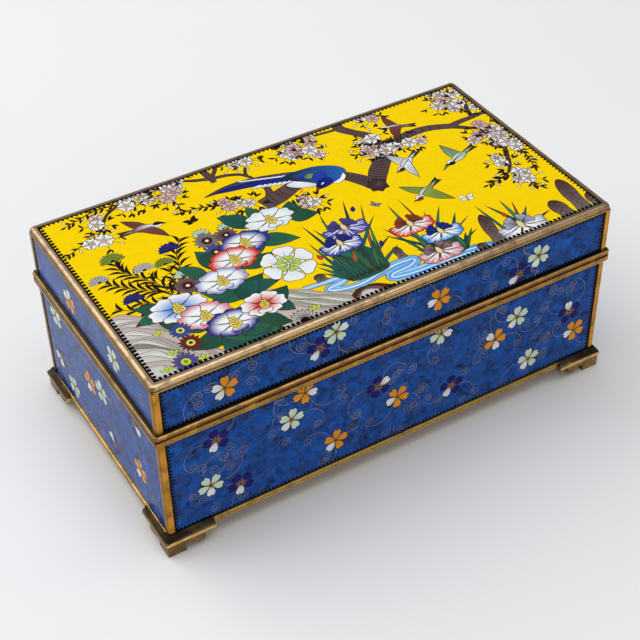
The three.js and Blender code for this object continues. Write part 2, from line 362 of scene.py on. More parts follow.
def gilt_brass(name, settings, stops, upward_darkening=None):
    """Old gilding, brown in the hollows, with tarnished clouds, scratches,
    painted shade on the faces that look left and darker faces that look up."""
    material, tree, shader = new_material(name)
    place = object_place(tree)
    hollow = add_node(tree, "ShaderNodeAmbientOcclusion", {"Distance": 1.6 * MM}, samples=8, only_local=True)
    recess = remap(tree, hollow.outputs["AO"], 0.35, 0.9, 1.0, 0.0)
    clouds = noise(tree, place, 190.0, 4.0, 0.65)
    specks = noise(tree, place, 1000.0, 3.0, 0.6)
    colour = height_colour(tree, place, stops)
    colour = blend(tree, remap(tree, clouds, 0.30, 0.46, 0.55, 0.0), colour, settings.gilt)
    worn = math_node(tree, "MAXIMUM", remap(tree, clouds, 0.48, 0.74, 0.0, 0.8), recess)
    colour = blend(tree, worn, colour, settings.patina)
    colour = blend(tree, remap(tree, specks, 0.58, 0.74, 0.0, 0.7), colour, (0.07, 0.04, 0.02))
    normal = add_node(tree, "ShaderNodeNewGeometry").outputs["Normal"]
    facing = add_node(tree, "ShaderNodeSeparateXYZ", {"Vector": normal}).outputs
    # Painted shade: faces that look left (towards -X) are blended towards the patina colour.
    colour = blend(tree, remap(tree, facing["X"], -0.85, -0.25, 0.62, 0.0), colour, settings.patina)
    # Darker on the faces that look up: blended towards near-black brown as the normal turns upwards.
    if upward_darkening:
        share, first, last = upward_darkening
        colour = blend(tree, remap(tree, facing["Z"], first, last, 0.0, share), colour, (0.03, 0.02, 0.012))
    tree.links.new(colour, shader.inputs["Base Color"])
    tree.links.new(remap(tree, worn, 0.0, 1.0, 0.32, 0.52), shader.inputs["Roughness"])
    shader.inputs["Metallic"].default_value = 1.0
    stretch = add_node(tree, "ShaderNodeMapping", {"Vector": place, "Scale": (1.0, 1.0, 6.0)})
    scratches = noise(tree, stretch.outputs["Vector"], 1400.0, 2.0, 0.5)
    add_bump(tree, shader, scratches, 0.12, 0.05 * MM)
    return material


def dark_hollow():
    """Near-black brown on the sunken faces of the chased dashes: painted shade in the recesses."""
    material, tree, shader = new_material("dark_hollow")
    shade = remap(tree, noise(tree, object_place(tree), 700.0), 0.35, 0.65)
    tree.links.new(blend(tree, shade, (0.03, 0.018, 0.01), (0.10, 0.055, 0.02)), shader.inputs["Base Color"])
    shader.inputs["Roughness"].default_value = 0.6
    shader.inputs["Metallic"].default_value = 0.6
    return material


def enamel_gloss(tree, shader, place):
    """The polished face: nearly flat, with slow waves and a few pin holes."""
    waves = noise(tree, place, 130.0, 2.0, 0.5)
    pits = remap(tree, noise(tree, place, 1500.0, 2.0, 0.5), 0.68, 0.74, 0.0, -0.5)
    add_bump(tree, shader, math_node(tree, "ADD", waves, pits), 0.10, 0.04 * MM)
    tree.links.new(remap(tree, noise(tree, place, 300.0, 3.0), 0.3, 0.7, 0.10, 0.2), shader.inputs["Roughness"])
    shader.inputs["IOR"].default_value = 1.5
    shader.inputs["Specular IOR Level"].default_value = 0.06


def cell_enamel():
    """Enamel in the cells, coloured by the drawing, slightly uneven as ground glass is."""
    material, tree, shader = new_material("cell_enamel")
    place = object_place(tree)
    drawn = add_node(tree, "ShaderNodeAttribute", attribute_name="enamel_colour").outputs["Color"]
    shade = remap(tree, noise(tree, place, 420.0, 4.0, 0.65), 0.25, 0.75, 0.94, 1.04)
    grey = add_node(tree, "ShaderNodeCombineColor", {"Red": shade, "Green": shade, "Blue": shade}).outputs["Color"]
    tree.links.new(blend(tree, 1.0, drawn, grey, "MULTIPLY"), shader.inputs["Base Color"])
    enamel_gloss(tree, shader, place)
    return material


def blue_ground(settings):
    """The mottled lapis ground of the sides."""
    material, tree, shader = new_material("blue_ground")
    place = object_place(tree)
    broad = remap(tree, noise(tree, place, 240.0, 5.0, 0.66, 0.8), 0.34, 0.66)
    patches = remap(tree, noise(tree, place, 560.0, 4.0, 0.65, 0.6), 0.48, 0.68, 0.0, 0.9)
    colour = blend(tree, broad, settings.deep_blue, settings.bright_blue)
    colour = blend(tree, patches, colour, settings.slate_blue)
    grains = remap(tree, noise(tree, place, 850.0, 3.0, 0.7), 0.55, 0.72, 0.0, 0.7)
    colour = blend(tree, grains, colour, (0.015, 0.13, 0.55))
    tree.links.new(colour, shader.inputs["Base Color"])
    enamel_gloss(tree, shader, place)
    return material


def wire_metal(name, bright, dull):
    """Thin drawn wire, rubbed down flush with the enamel."""
    material, tree, shader = new_material(name)
    place = object_place(tree)
    colour = blend(tree, remap(tree, noise(tree, place, 500.0, 3.0), 0.35, 0.65), bright, dull)
    tree.links.new(colour, shader.inputs["Base Color"])
    tree.links.new(remap(tree, noise(tree, place, 900.0), 0.3, 0.7, 0.3, 0.5), shader.inputs["Roughness"])
    shader.inputs["Metallic"].default_value = 0.85
    return material


def studio_floor(colour):
    material, tree, shader = new_material("studio_floor")
    shade = remap(tree, noise(tree, object_place(tree), 3.0, 2.0), 0.3, 0.7)
    tree.links.new(blend(tree, shade, [0.98 * c for c in colour], colour), shader.inputs["Base Color"])
    shader.inputs["Roughness"].default_value = 0.7
    return material


def shared(name, make, *arguments):
    """A material that several pieces share, made when it is first asked for."""
    return bpy.data.materials.get(name) or make(*arguments)


# Stage


class BOX_OT_stage(bpy.types.Operator):
    """Sets up the camera, the pale floor and the soft lights"""

    bl_idname = "enamel_box.stage"
    bl_label = "Stage"

    def execute(self, context):
        stage = context.scene.box_stage
        self.add_camera(context, stage)
        self.add_floor(stage)
        self.add_lights(context)
        return {"FINISHED"}

    def add_camera(self, context, stage):
        a, e, r = stage.azimuth, stage.elevation, stage.roll
        back = Vector((math.sin(a) * math.cos(e), -math.cos(a) * math.cos(e), math.sin(e)))
        level = Vector((math.cos(a), math.sin(a), 0))
        rise = back.cross(level)
        right = level * math.cos(r) + rise * math.sin(r)
        up = rise * math.cos(r) - level * math.sin(r)
        place = Vector((0, 0, stage.aim_height)) + back * stage.distance
        place += right * stage.slide[0] + up * stage.slide[1]
        deselect_all()
        bpy.ops.object.camera_add()
        camera = context.object
        camera.name = "photo_camera"
        camera.matrix_world = Matrix.Translation(place) @ Matrix((right, up, back)).transposed().to_4x4()
        camera.data.sensor_width = 36.0
        camera.data.lens = stage.lens
        camera.data.clip_start = 0.01
        context.scene.camera = camera

    def add_floor(self, stage):
        deselect_all()
        bpy.ops.mesh.primitive_plane_add(size=6.0)
        floor = bpy.context.object
        floor.name = "studio_floor"
        floor.data.materials.append(studio_floor(stage.floor_colour))

    def add_lights(self, context):
        lights = (
            ("key", (-0.75, 0.85, 1.1), (0.0, 0.0, 0.03), 1.8, 17.0),
            ("overhead", (0.1, -0.1, 1.3), (0.0, 0.0, 0.03), 1.0, 5.5),
            ("fill", (0.4, -1.4, 0.7), (0.0, 0.0, 0.03), 0.9, 3.0),
        )
        for name, place, aim, size, power in lights:
            deselect_all()
            bpy.ops.object.light_add(type="AREA", location=place)
            light = context.object
            light.name = name + "_light"
            light.data.size = size
            light.data.energy = power
            light.rotation_euler = (Vector(aim) - Vector(place)).to_track_quat("-Z", "Y").to_euler()
        world = context.scene.world or bpy.data.worlds.new("studio")
        context.scene.world = world
        world.use_nodes = True
        sky = world.node_tree.nodes["Background"]
        sky.inputs["Color"].default_value = (0.95, 0.97, 1.0, 1.0)
        sky.inputs["Strength"].default_value = 0.28
        context.scene.view_settings.view_transform = "Standard"


# Brass mounts


class BOX_OT_floor_plate(bpy.types.Operator):
    """Makes the floor plate, whose edge shows as a gold strip with a row of chased dashes"""

    bl_idname = "enamel_box.floor_plate"
    bl_label = "Floor Plate"

    def execute(self, context):
        mounts = context.scene.box_mounts
        low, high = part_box("base_plate")
        bottom, middle = low.z + 0.6 * MM, low.z + 1.25 * MM
        piece = new_block("floor_plate", low, (high.x, high.y, bottom))
        for step in (middle - bottom, high.z - middle):
            pick("FACE", lambda place, normal: normal.z > 0.9)
            extrude((0, 0, step))
        pick("EDGE", lambda place, along: abs(along.z) > 0.9)
        round_edges(1.2 * MM, 4)
        self.chase_dashes(low, bottom, middle)
        close_up()
        soften(piece, 0.1 * MM)
        stops = ((low.z / MM, (0.56, 0.34, 0.08)), (high.z / MM, (0.74, 0.48, 0.13)))
        brass = gilt_brass("plate_brass", mounts, stops)
        hand_over(piece, ["base_plate"], [brass, dark_hollow()])
        # The sunken faces of the dashes take the second slot, the painted shade of dark_hollow.
        for polygon in piece.data.polygons:
            sideways = abs(polygon.normal.z) < 0.3
            if sideways and outset_of(polygon.center) < high.x - WALL_HIGH.x - 0.15 * MM:
                polygon.material_index = 1
        return {"FINISHED"}

    def chase_dashes(self, low, bottom, middle):
        """Cuts the middle of the edge into short lengths and sinks each of them."""
        pitch = 2.7 * MM
        for axis in range(2):
            span = (WALL_HIGH - WALL_LOW)[axis]
            across = 1 - axis

            def runs_along(place, along, axis=axis, across=across):
                at_band = min(abs(place.z - bottom), abs(place.z - middle)) < 0.01 * MM
                return at_band and abs(along[axis]) > 0.99 and abs(place[across]) > abs(low[across]) - 0.01 * MM

            pick("EDGE", runs_along)
            bpy.ops.mesh.subdivide(number_cuts=int(span / pitch))
        pick("FACE", lambda place, normal: abs(normal.z) < 0.1 and bottom < place.z < middle)
        bpy.ops.mesh.inset(thickness=0.09 * MM, depth=-0.25 * MM, use_individual=True)


class BOX_OT_corner_posts(bpy.types.Operator):
    """Makes the eight square corner posts with a rounded arris"""

    bl_idname = "enamel_box.corner_posts"
    bl_label = "Corner Posts"

    def execute(self, context):
        mounts = context.scene.box_mounts
        for part in ("base", "lid"):
            for corner in CORNERS:
                self.make_post(f"{part}_post_{corner}", mounts)
        return {"FINISHED"}

    def make_post(self, node, mounts):
        low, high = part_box(node)
        piece = new_block(node.replace("_post_", "_corner_strip_"), low, high)
        pick("EDGE", lambda place, along: abs(along.z) > 0.9 and outset_of(place) > -0.1 * MM and inset_of(place) < 0.1 * MM)
        round_edges(mounts.arris, 5)
        cut_long_edges(3.5 * MM)
        close_up()
        wander(piece, mounts.wobble, 7 * MM)
        stops = ((9.0, (0.70, 0.32, 0.03)), (40.0, (0.56, 0.25, 0.025)), (73.0, (0.62, 0.28, 0.035)))
        hand_over(piece, [node], [shared("post_brass", gilt_brass, "post_brass", mounts, stops)])


def quarter_steps(radius):
    """Steps inwards and downwards of a quarter circle, from its outer end to its top."""
    turns = [math.radians(22.5 * k) for k in range(5)]
    return [(radius * (1 - math.cos(turn)), radius * (1 - math.sin(turn))) for turn in turns]


def round_plate(name, outset, floor, corner, radius):
    """A plane with rounded corners, inset by the steps of a quarter circle, without its middle, in edit mode."""
    deselect_all()
    bpy.ops.mesh.primitive_plane_add(size=1, location=(0, 0, floor))
    piece = bpy.context.object
    span = WALL_HIGH - WALL_LOW
    set_size(piece, name, (span.x + 2 * outset, span.y + 2 * outset, 1))
    bpy.ops.object.mode_set(mode="EDIT")
    bpy.ops.mesh.select_all(action="SELECT")
    bpy.ops.mesh.bevel(offset=corner, segments=6, affect="VERTICES")
    bpy.ops.mesh.select_mode(type="FACE")
    bpy.ops.mesh.select_all(action="SELECT")
    depths = [depth for depth, _ in quarter_steps(radius)]
    for before, after in zip(depths, depths[1:]):
        bpy.ops.mesh.inset(thickness=after - before, depth=0)
    bpy.ops.mesh.delete(type="ONLY_FACE")
    return piece


def add_inner_edge(outset, corner, radius, floor, face, ring):
    """Adds a square inner edge, with a narrow ring inside it, and fills the gap between it and the plate."""
    bpy.ops.mesh.select_all(action="DESELECT")
    bpy.ops.mesh.primitive_plane_add(size=1, location=(0, 0, floor))
    span = WALL_HIGH - WALL_LOW
    bpy.ops.transform.resize(value=(span.x + 2 * face, span.y + 2 * face, 1), center_override=(0, 0, floor))
    if ring:
        bpy.ops.mesh.inset(thickness=ring, depth=0)
    bpy.ops.mesh.delete(type="ONLY_FACE")

    def beside_gap(place, along):
        on_plate = abs(depth_in(place, outset, corner) - radius) < 0.03 * MM
        return on_plate or abs(outset_of(place) - face) < 0.03 * MM

    pick("EDGE", beside_gap)
    bpy.ops.mesh.bridge_edge_loops()


def round_over(outset, corner, radius, height, turn):
    """Moves the steps at this height up or down, so that the outer edge becomes a quarter circle."""
    for depth, drop in quarter_steps(radius):
        pick("VERT", lambda place, normal: abs(depth_in(place, outset, corner) - depth) < 0.01 * MM
             and abs(place.z - height) < 0.01 * MM)
        bpy.ops.transform.translate(value=(0, 0, turn * drop))


class BOX_OT_rims(bpy.types.Operator):
    """Makes the two rim bands that meet at the seam, with the lip that keeps the lid in place"""

    bl_idname = "enamel_box.rims"
    bl_label = "Rims"

    def execute(self, context):
        mounts = context.scene.box_mounts
        lid_low, lid_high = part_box("lid_rim")
        base_low, base_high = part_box("base_rim")
        self.make_rim("lid_band", "lid_rim", lid_low.z, lid_high.z, 0.0, mounts)
        self.make_rim("base_band", "base_rim", base_low.z, SEAM_HEIGHT, base_high.z - SEAM_HEIGHT, mounts)
        return {"FINISHED"}

    def make_rim(self, name, node, floor, top, lip, mounts):
        radius, corner = mounts.rim_edge, mounts.rim_corner
        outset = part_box("lid_rim")[1].x - WALL_HIGH.x
        face = -POST_SIZE - (LIP_GAP if lip else 0)
        piece = round_plate(name, outset, floor, corner, radius)
        add_inner_edge(outset, corner, radius, floor, face, LIP_WIDTH if lip else 0)
        bpy.ops.mesh.select_all(action="SELECT")
        extrude((0, 0, top - floor))
        if lip:
            pick("FACE", lambda place, normal: place.z > top - 0.1 * MM and outset_of(place) < face)
            extrude((0, 0, lip))
        round_over(outset, corner, radius, floor, 1)
        round_over(outset, corner, radius, top, -1)
        cut_long_edges(4.5 * MM)
        close_up()
        wander(piece, mounts.wobble, 9 * MM)
        seam = SEAM_HEIGHT / MM
        # Painted highlights and shade: the bright stops low on the base band and at the top of the lid band are painted
        # highlights on the rounded edges, and the near-black stops at the seam and at the lowest edge are painted
        # shade.
        stops = (
            (seam - 2.7, (0.06, 0.03, 0.012)), (seam - 2.2, (0.66, 0.38, 0.08)), (seam - 1.6, (0.32, 0.15, 0.03)),
            (seam - 0.8, (0.50, 0.27, 0.05)), (seam - 0.3, (0.08, 0.03, 0.012)), (seam + 0.3, (0.08, 0.03, 0.012)),
            (seam + 0.7, (0.28, 0.10, 0.02)), (seam + 1.4, (0.34, 0.14, 0.03)), (seam + 1.9, (0.74, 0.48, 0.16)),
        )
        hand_over(piece, [node], [shared("rim_brass", gilt_brass, "rim_brass", mounts, stops, (0.9, 0.8, 0.97))])


class BOX_OT_top_frame(bpy.types.Operator):
    """Makes the moulded frame round the lid's top: a strip, a groove and a rounded band, with a ledge inside"""

    bl_idname = "enamel_box.top_frame"
    bl_label = "Top Frame"

    def execute(self, context):
        mounts = context.scene.box_mounts
        low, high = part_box("lid_top_frame")
        corner, radius, face = 1.9 * MM, 1.6 * MM, -POST_SIZE
        ledge, strip, groove, depth = 0.3 * MM, 0.5 * MM, 0.3 * MM, 0.3 * MM
        piece = round_plate("lid_top_moulding", 0.0, low.z, corner, radius)
        add_inner_edge(0.0, corner, radius, low.z, face, 1.0 * MM)
        bpy.ops.mesh.select_all(action="SELECT")
        extrude((0, 0, ledge))
        height = low.z + ledge
        for step in (strip - ledge, groove / 2, groove / 2, high.z - low.z - strip - groove):
            level = height
            pick("FACE", lambda place, normal: abs(place.z - level) < 0.01 * MM and outset_of(place) > face)
            extrude((0, 0, step))
            height += step
        round_over(0.0, corner, radius, high.z, -1)
        middle = low.z + strip + groove / 2
        pick("VERT", lambda place, normal: abs(place.z - middle) < 0.01 * MM and depth_in(place, 0.0, corner) < 0.01 * MM)
        shrink = [1 - depth / reach for reach in (WALL_HIGH.x, WALL_HIGH.y)]
        bpy.ops.transform.resize(value=(*shrink, 1), center_override=(0, 0, middle))
        cut_long_edges(4.5 * MM)
        close_up()
        wander(piece, mounts.wobble, 9 * MM)
        base = low.z / MM
        # Painted shade and highlight: the near-black stops over the groove are painted shade, and the pale stops on the
        # rounded top band are a painted highlight.
        stops = (
            (base, (0.56, 0.38, 0.13)), (base + 0.45, (0.55, 0.37, 0.12)), (base + 0.55, (0.05, 0.03, 0.02)),
            (base + 0.8, (0.06, 0.035, 0.02)), (base + 1.0, (0.42, 0.26, 0.11)), (base + 1.9, (0.62, 0.43, 0.24)),
            (base + 2.3, (0.72, 0.53, 0.33)), (base + 2.4, (0.50, 0.36, 0.23)),
        )
        brass = gilt_brass("frame_brass", mounts, stops)
        hand_over(piece, ["lid_top_frame"], [brass])
        return {"FINISHED"}


class BOX_OT_feet(bpy.types.Operator):
    """Makes the four bracket feet: a sloping collar with a rounded lip over a stepped apron"""

    bl_idname = "enamel_box.feet"
    bl_label = "Bracket Feet"

    def execute(self, context):
        mounts = context.scene.box_mounts
        low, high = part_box("foot_front_left")
        outset = WALL_LOW.x - low.x
        reach = high.x - WALL_LOW.x
        pattern = self.make_foot(outset, reach, high.z)
        for index, corner in enumerate(CORNERS):
            self.place_copy(pattern, index, corner, mounts)
        bpy.data.objects.remove(pattern)
        return {"FINISHED"}

    def make_foot(self, outset, reach, height):
        """One foot with the wall corner over the origin and its wings along +X and +Y."""
        inner, lip, plate_edge = 5.0 * MM, 1.7 * MM, 0.3 * MM
        lip_top, plate_bottom = 6.8 * MM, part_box("base_plate")[0].z
        plate = new_block("foot_pattern", (-outset, -outset, lip_top - lip), (inner, inner, plate_bottom))
        for axis in range(2):
            pick("FACE", lambda place, normal, axis=axis: normal[axis] > 0.9)
            extrude([reach - inner if k == axis else 0 for k in range(3)])
        for axis in range(2):
            cut = [-plate_edge if k == axis else 0 for k in range(3)]
            normal = [1 if k == axis else 0 for k in range(3)]
            bpy.ops.mesh.select_all(action="SELECT")
            bpy.ops.mesh.bisect(plane_co=cut, plane_no=normal)
        pick("FACE", lambda place, normal: normal.z > 0.9 and min(place.x, place.y) < -plate_edge)
        extrude((0, 0, height - plate_bottom))
        pick("VERT", lambda place, normal: place.z > height - 0.01 * MM and min(place.x, place.y) < -outset + 0.01 * MM)
        bpy.ops.transform.translate(value=(0, 0, lip_top - height))
        bpy.ops.mesh.select_all(action="SELECT")
        bpy.ops.mesh.dissolve_limited(angle_limit=math.radians(1))
        pick("EDGE", lambda place, along: abs(along.z) > 0.9 and max(place.x, place.y) < -outset + 0.01 * MM)
        round_edges(1.0 * MM, 4)
        pick("EDGE", lambda place, along: abs(along.z) < 0.5 and self.on_lip(place, outset, reach))
        round_edges(0.75 * MM, 4)
        close_up()
        aprons = [self.make_apron(), self.make_apron()]
        take_up(aprons[1])
        aprons[1].data.transform(Matrix(((0, 1, 0, 0), (1, 0, 0, 0), (0, 0, 1, 0), (0, 0, 0, 1))))
        aprons[1].data.flip_normals()
        for apron in aprons:
            take_up(plate)
            union = plate.modifiers.new("Join", "BOOLEAN")
            union.operation = "UNION"
            union.solver = "EXACT"
            union.object = apron
            bpy.ops.object.modifier_apply(modifier=union.name)
            bpy.data.objects.remove(apron)
        soften(plate, 0.18 * MM, 2)
        return plate

    def on_lip(self, place, outset, reach):
        """True along the outer edges of the plate, past the flat top."""
        return min(place.x, place.y) < -outset + 0.35 * MM

    def make_apron(self):
        """The apron under one wing: a corner block, then a step and a hanging lobe drawn out from it."""
        face, thick, top = -1.6 * MM, 3.0 * MM, 5.6 * MM
        block_reach, step_height = 5.2 * MM, 3.1 * MM
        lobe = ((6.6, 3.1), (7.4, 2.5), (8.6, 1.95), (10.2, 1.6), (11.6, 1.6), (12.3, 1.95), (12.6, 2.6))
        apron = new_block("apron", (face, face, 0), (block_reach, face + thick, top))
        bpy.ops.mesh.select_all(action="SELECT")
        bpy.ops.mesh.bisect(plane_co=(0, 0, step_height), plane_no=(0, 0, 1))
        pick("FACE", lambda place, normal: normal.x > 0.9 and place.z > step_height)
        reach, bottom = block_reach, step_height
        for along, height in lobe:
            extrude((along * MM - reach, 0, 0))
            reach = along * MM
            edge = reach
            pick("VERT", lambda place, normal: place.x > edge - 0.01 * MM and place.z < bottom + 0.01 * MM)
            bpy.ops.transform.translate(value=(0, 0, height * MM - bottom))
            bottom = height * MM
            pick("FACE", lambda place, normal: normal.x > 0.9 and place.x > edge - 0.01 * MM)
        close_up()
        return apron

    def place_copy(self, pattern, index, corner, mounts):
        take_up(pattern)
        bpy.ops.object.duplicate()
        piece = bpy.context.object
        piece.name = "bracket_foot_" + corner
        piece.data.name = piece.name
        x = WALL_LOW.x if corner.endswith("left") else WALL_HIGH.x
        y = WALL_LOW.y if corner.startswith("front") else WALL_HIGH.y
        piece.rotation_euler = (0, 0, index * math.pi / 2)
        piece.location = (x, y, 0)
        bpy.ops.object.transform_apply(location=True, rotation=True, scale=True)
        # Painted highlight and shade: the bright gold stops at the lip's height are a painted highlight, the dark stops
        # of the apron under the plate are painted shade, and the stops over the lip are darker as well.
        stops = (
            (0.0, (0.23, 0.13, 0.04)), (4.7, (0.26, 0.15, 0.05)), (5.3, (0.84, 0.56, 0.14)), (6.5, (0.88, 0.62, 0.20)),
            (6.9, (0.12, 0.09, 0.06)), (9.0, (0.08, 0.06, 0.04)),
        )
        hand_over(piece, ["foot_" + corner], [shared("foot_brass", gilt_brass, "foot_brass", mounts, stops, (0.8, 0.6, 0.67))])


# Drawing in enamel: outlines in millimetres on a flat panel, x to the right and y up

GROUND, ENAMEL, WIRE, COUNTER = range(4)  # material slots of a panel


def hue(code):
    """Linear colour from the six digits of a screen colour."""
    parts = [int(code[k : k + 2], 16) / 255 for k in (0, 2, 4)]
    return tuple(c / 12.92 if c <= 0.04045 else ((c + 0.055) / 1.055) ** 2.4 for c in parts)


YELLOW = hue("FFD800")
BLACK = hue("0E0A0A")
LEAF_BLACK = hue("241A14")
WHITE = hue("F4F6F8")
CREAM = hue("F3E9C4")
PINK = hue("DDBBC0")
ROSE = hue("A8616C")
BARK = hue("5E4A4A")
BARK_DARK = hue("33201F")
UMBER = hue("4C2C2A")
PINE = hue("1F4A3C")
TEAL = hue("1F6A66")
GRASS = hue("3C8A5C")
SAGE = hue("7FA88F")
LIME = hue("C6DC3E")
OLIVE = hue("8CA33A")
NAVY = hue("1B2A86")
ROYAL = hue("1E3FB0")
AZURE = hue("3E8FE0")
VIOLET = hue("5A54A8")
SCARLET = hue("DE3A28")
RUSSET = hue("8E3B2A")
ORANGE = hue("D9802E")
GOLD = hue("E2C23A")
STONE = hue("CFCDC7")
STONE_DARK = hue("8E8886")
SLATE = hue("4A4B55")


def mix(first, last, share):
    return tuple(a + (b - a) * share for a, b in zip(first, last))


def polar(place, degrees, distance, squash=1.0):
    """A point at a bearing from a place, with the height squashed for a tilted flower."""
    angle = math.radians(degrees)
    return Vector((place.x + distance * math.cos(angle), place.y + squash * distance * math.sin(angle)))


def spline(points, closed, steps):
    """A smooth line through the points."""
    count = len(points)
    found = []
    for k in range(count if closed else count - 1):
        if closed:
            a, b, c, d = (points[(k + shift) % count] for shift in (-1, 0, 1, 2))
        else:
            a, b, c, d = (points[min(max(k + shift, 0), count - 1)] for shift in (-1, 0, 1, 2))
        for step in range(steps):
            t = step / steps
            found.append(0.5 * (2 * b + (c - a) * t + (2 * a - 5 * b + 4 * c - d) * t**2 + (3 * b - a - 3 * c + d) * t**3))
    return found if closed else [*found, points[-1]]


def smooth(points, steps=5):
    return spline(points, False, steps)


def loop(points, steps=4):
    return spline(points, True, steps)


def width_at(widths, share):
    """Width of a line at a share of its length, from one number or several spread along it."""
    if isinstance(widths, (int, float)):
        return widths
    spot = share * (len(widths) - 1)
    first = min(int(spot), len(widths) - 2)
    return widths[first] + (widths[first + 1] - widths[first]) * (spot - first)


def stroke(points, widths):
    """Outline of a line that has a width."""
    left, right = [], []
    last = len(points) - 1
    for k, point in enumerate(points):
        along = (points[min(k + 1, last)] - points[max(k - 1, 0)]).normalized()
        side = Vector((-along.y, along.x)) * max(width_at(widths, k / last), 0.04) / 2
        left.append(point + side)
        right.append(point - side)
    return right + left[::-1]


def leaf(base, tip, width, bend=0.0, steps=7):
    """A pointed leaf from base to tip that bows sideways."""
    axis = tip - base
    side = Vector((-axis.y, axis.x)).normalized()
    left, right = [], []
    for k in range(1, steps):
        t = k / steps
        middle = base + axis * t + side * bend * 4 * t * (1 - t)
        half = side * width / 2 * math.sin(math.pi * t**0.85)
        left.append(middle + half)
        right.append(middle - half)
    return [base, *right, tip, *left[::-1]]


def disc(place, radius, sides=12, squash=1.0):
    return [polar(place, 360 * k / sides, radius, squash) for k in range(sides)]


def notched_petal(place, degrees, radius, spread, notch, squash=1.0, root=0.1):
    """A petal that is broadest near its tip, with a dip in the tip."""
    marks = ((root, 0), (0.5, -0.72), (0.86, -1), (1, -0.5), (1 - notch, 0), (1, 0.5), (0.86, 1), (0.5, 0.72))
    return loop([polar(place, degrees + spread * turn, radius * reach, squash) for reach, turn in marks])


def wavy_petal(place, degrees, radius, spread, squash, wave=0.045):
    """A broad petal with two shallow lobes."""
    marks = [(0.08, 0), (0.45, -0.8)]
    for k in range(13):
        turn = k / 6 - 1
        marks.append((1 - 0.17 * abs(turn) ** 3 - wave * math.cos(2 * math.pi * turn), turn))
    marks.append((0.45, 0.8))
    return loop([polar(place, degrees + spread * turn, radius * reach, squash) for reach, turn in marks], 3)


def signed_area(outline):
    return sum(a.x * b.y - b.x * a.y for a, b in zip(outline, [*outline[1:], outline[0]])) / 2


def anticlockwise(outline):
    return outline if signed_area(outline) > 0 else outline[::-1]


def is_simple(outline):
    """Whether an outline never crosses or touches itself."""
    made = delaunay_2d_cdt(outline, [], [list(range(len(outline)))], 1, 1e-6, False)
    return len(made[0]) == len(outline)


def grown(outline, distance):
    """An anticlockwise outline moved outwards, or inwards by a negative distance."""
    count = len(outline)
    moved = []
    for k, point in enumerate(outline):
        before = (point - outline[k - 1]).normalized()
        after = (outline[(k + 1) % count] - point).normalized()
        middle = Vector((before.y + after.y, -before.x - after.x))
        moved.append(point + middle * distance / max(middle.length_squared / 2, 0.5))
    return moved


def clear_of(point, outline, distance):
    """Whether a point keeps this distance from every edge of an outline."""
    before = outline[-1]
    for corner in outline:
        edge = corner - before
        share = min(1.0, max(0.0, (point - before).dot(edge) / max(edge.length_squared, 1e-9)))
        if (before + edge * share - point).length_squared < distance * distance:
            return False
        before = corner
    return True


def shrunk(outline, distance):
    """An outline moved inwards, without the points that a narrow tip leaves no room for."""
    return [p for p in grown(outline, -distance) if clear_of(p, outline, 0.93 * distance)]


def is_inside(point, outline):
    inside = False
    before = outline[-1]
    for corner in outline:
        if (corner.y > point.y) != (before.y > point.y):
            if point.x < corner.x + (before.x - corner.x) * (point.y - corner.y) / (before.y - corner.y):
                inside = not inside
        before = corner
    return inside


def inner_points(outline, spacing):
    """Evenly spread points inside an outline, which carry a fading colour."""
    low_x, high_x = min(p.x for p in outline), max(p.x for p in outline)
    low_y, high_y = min(p.y for p in outline), max(p.y for p in outline)
    rows = int((high_y - low_y) / (0.87 * spacing))
    columns = int((high_x - low_x) / spacing)
    found = []
    for row in range(1, rows + 1):
        for column in range(columns + 1):
            x = low_x + (column + 0.5 * (row % 2)) * spacing
            point = Vector((x, low_y + row * 0.87 * spacing))
            if is_inside(point, outline):
                found.append(point)
    return found


def fade(centre, reach, inner, outer, power=1.0):
    """Colour that changes with the distance from a centre."""
    return lambda point: mix(inner, outer, min(1.0, (point - centre).length / reach) ** power)


def rimmed(centre, radius, squash, inner, outer, start):
    """Colour of a tilted flower's petals that changes towards their rims."""

    def paint(point):
        away = point - centre
        share = (math.hypot(away.x, away.y / squash) / radius - start) / (0.88 - start)
        return mix(inner, outer, min(1.0, max(0.0, share)))

    return paint


def drift(start, end, first, last):
    """Colour that changes from one place to another."""
    axis = end - start
    return lambda point: mix(first, last, min(1.0, max(0.0, (point - start).dot(axis) / axis.length_squared)))


def edges_of(triangle):
    a, b, c = triangle
    return (a, b), (b, c), (c, a)


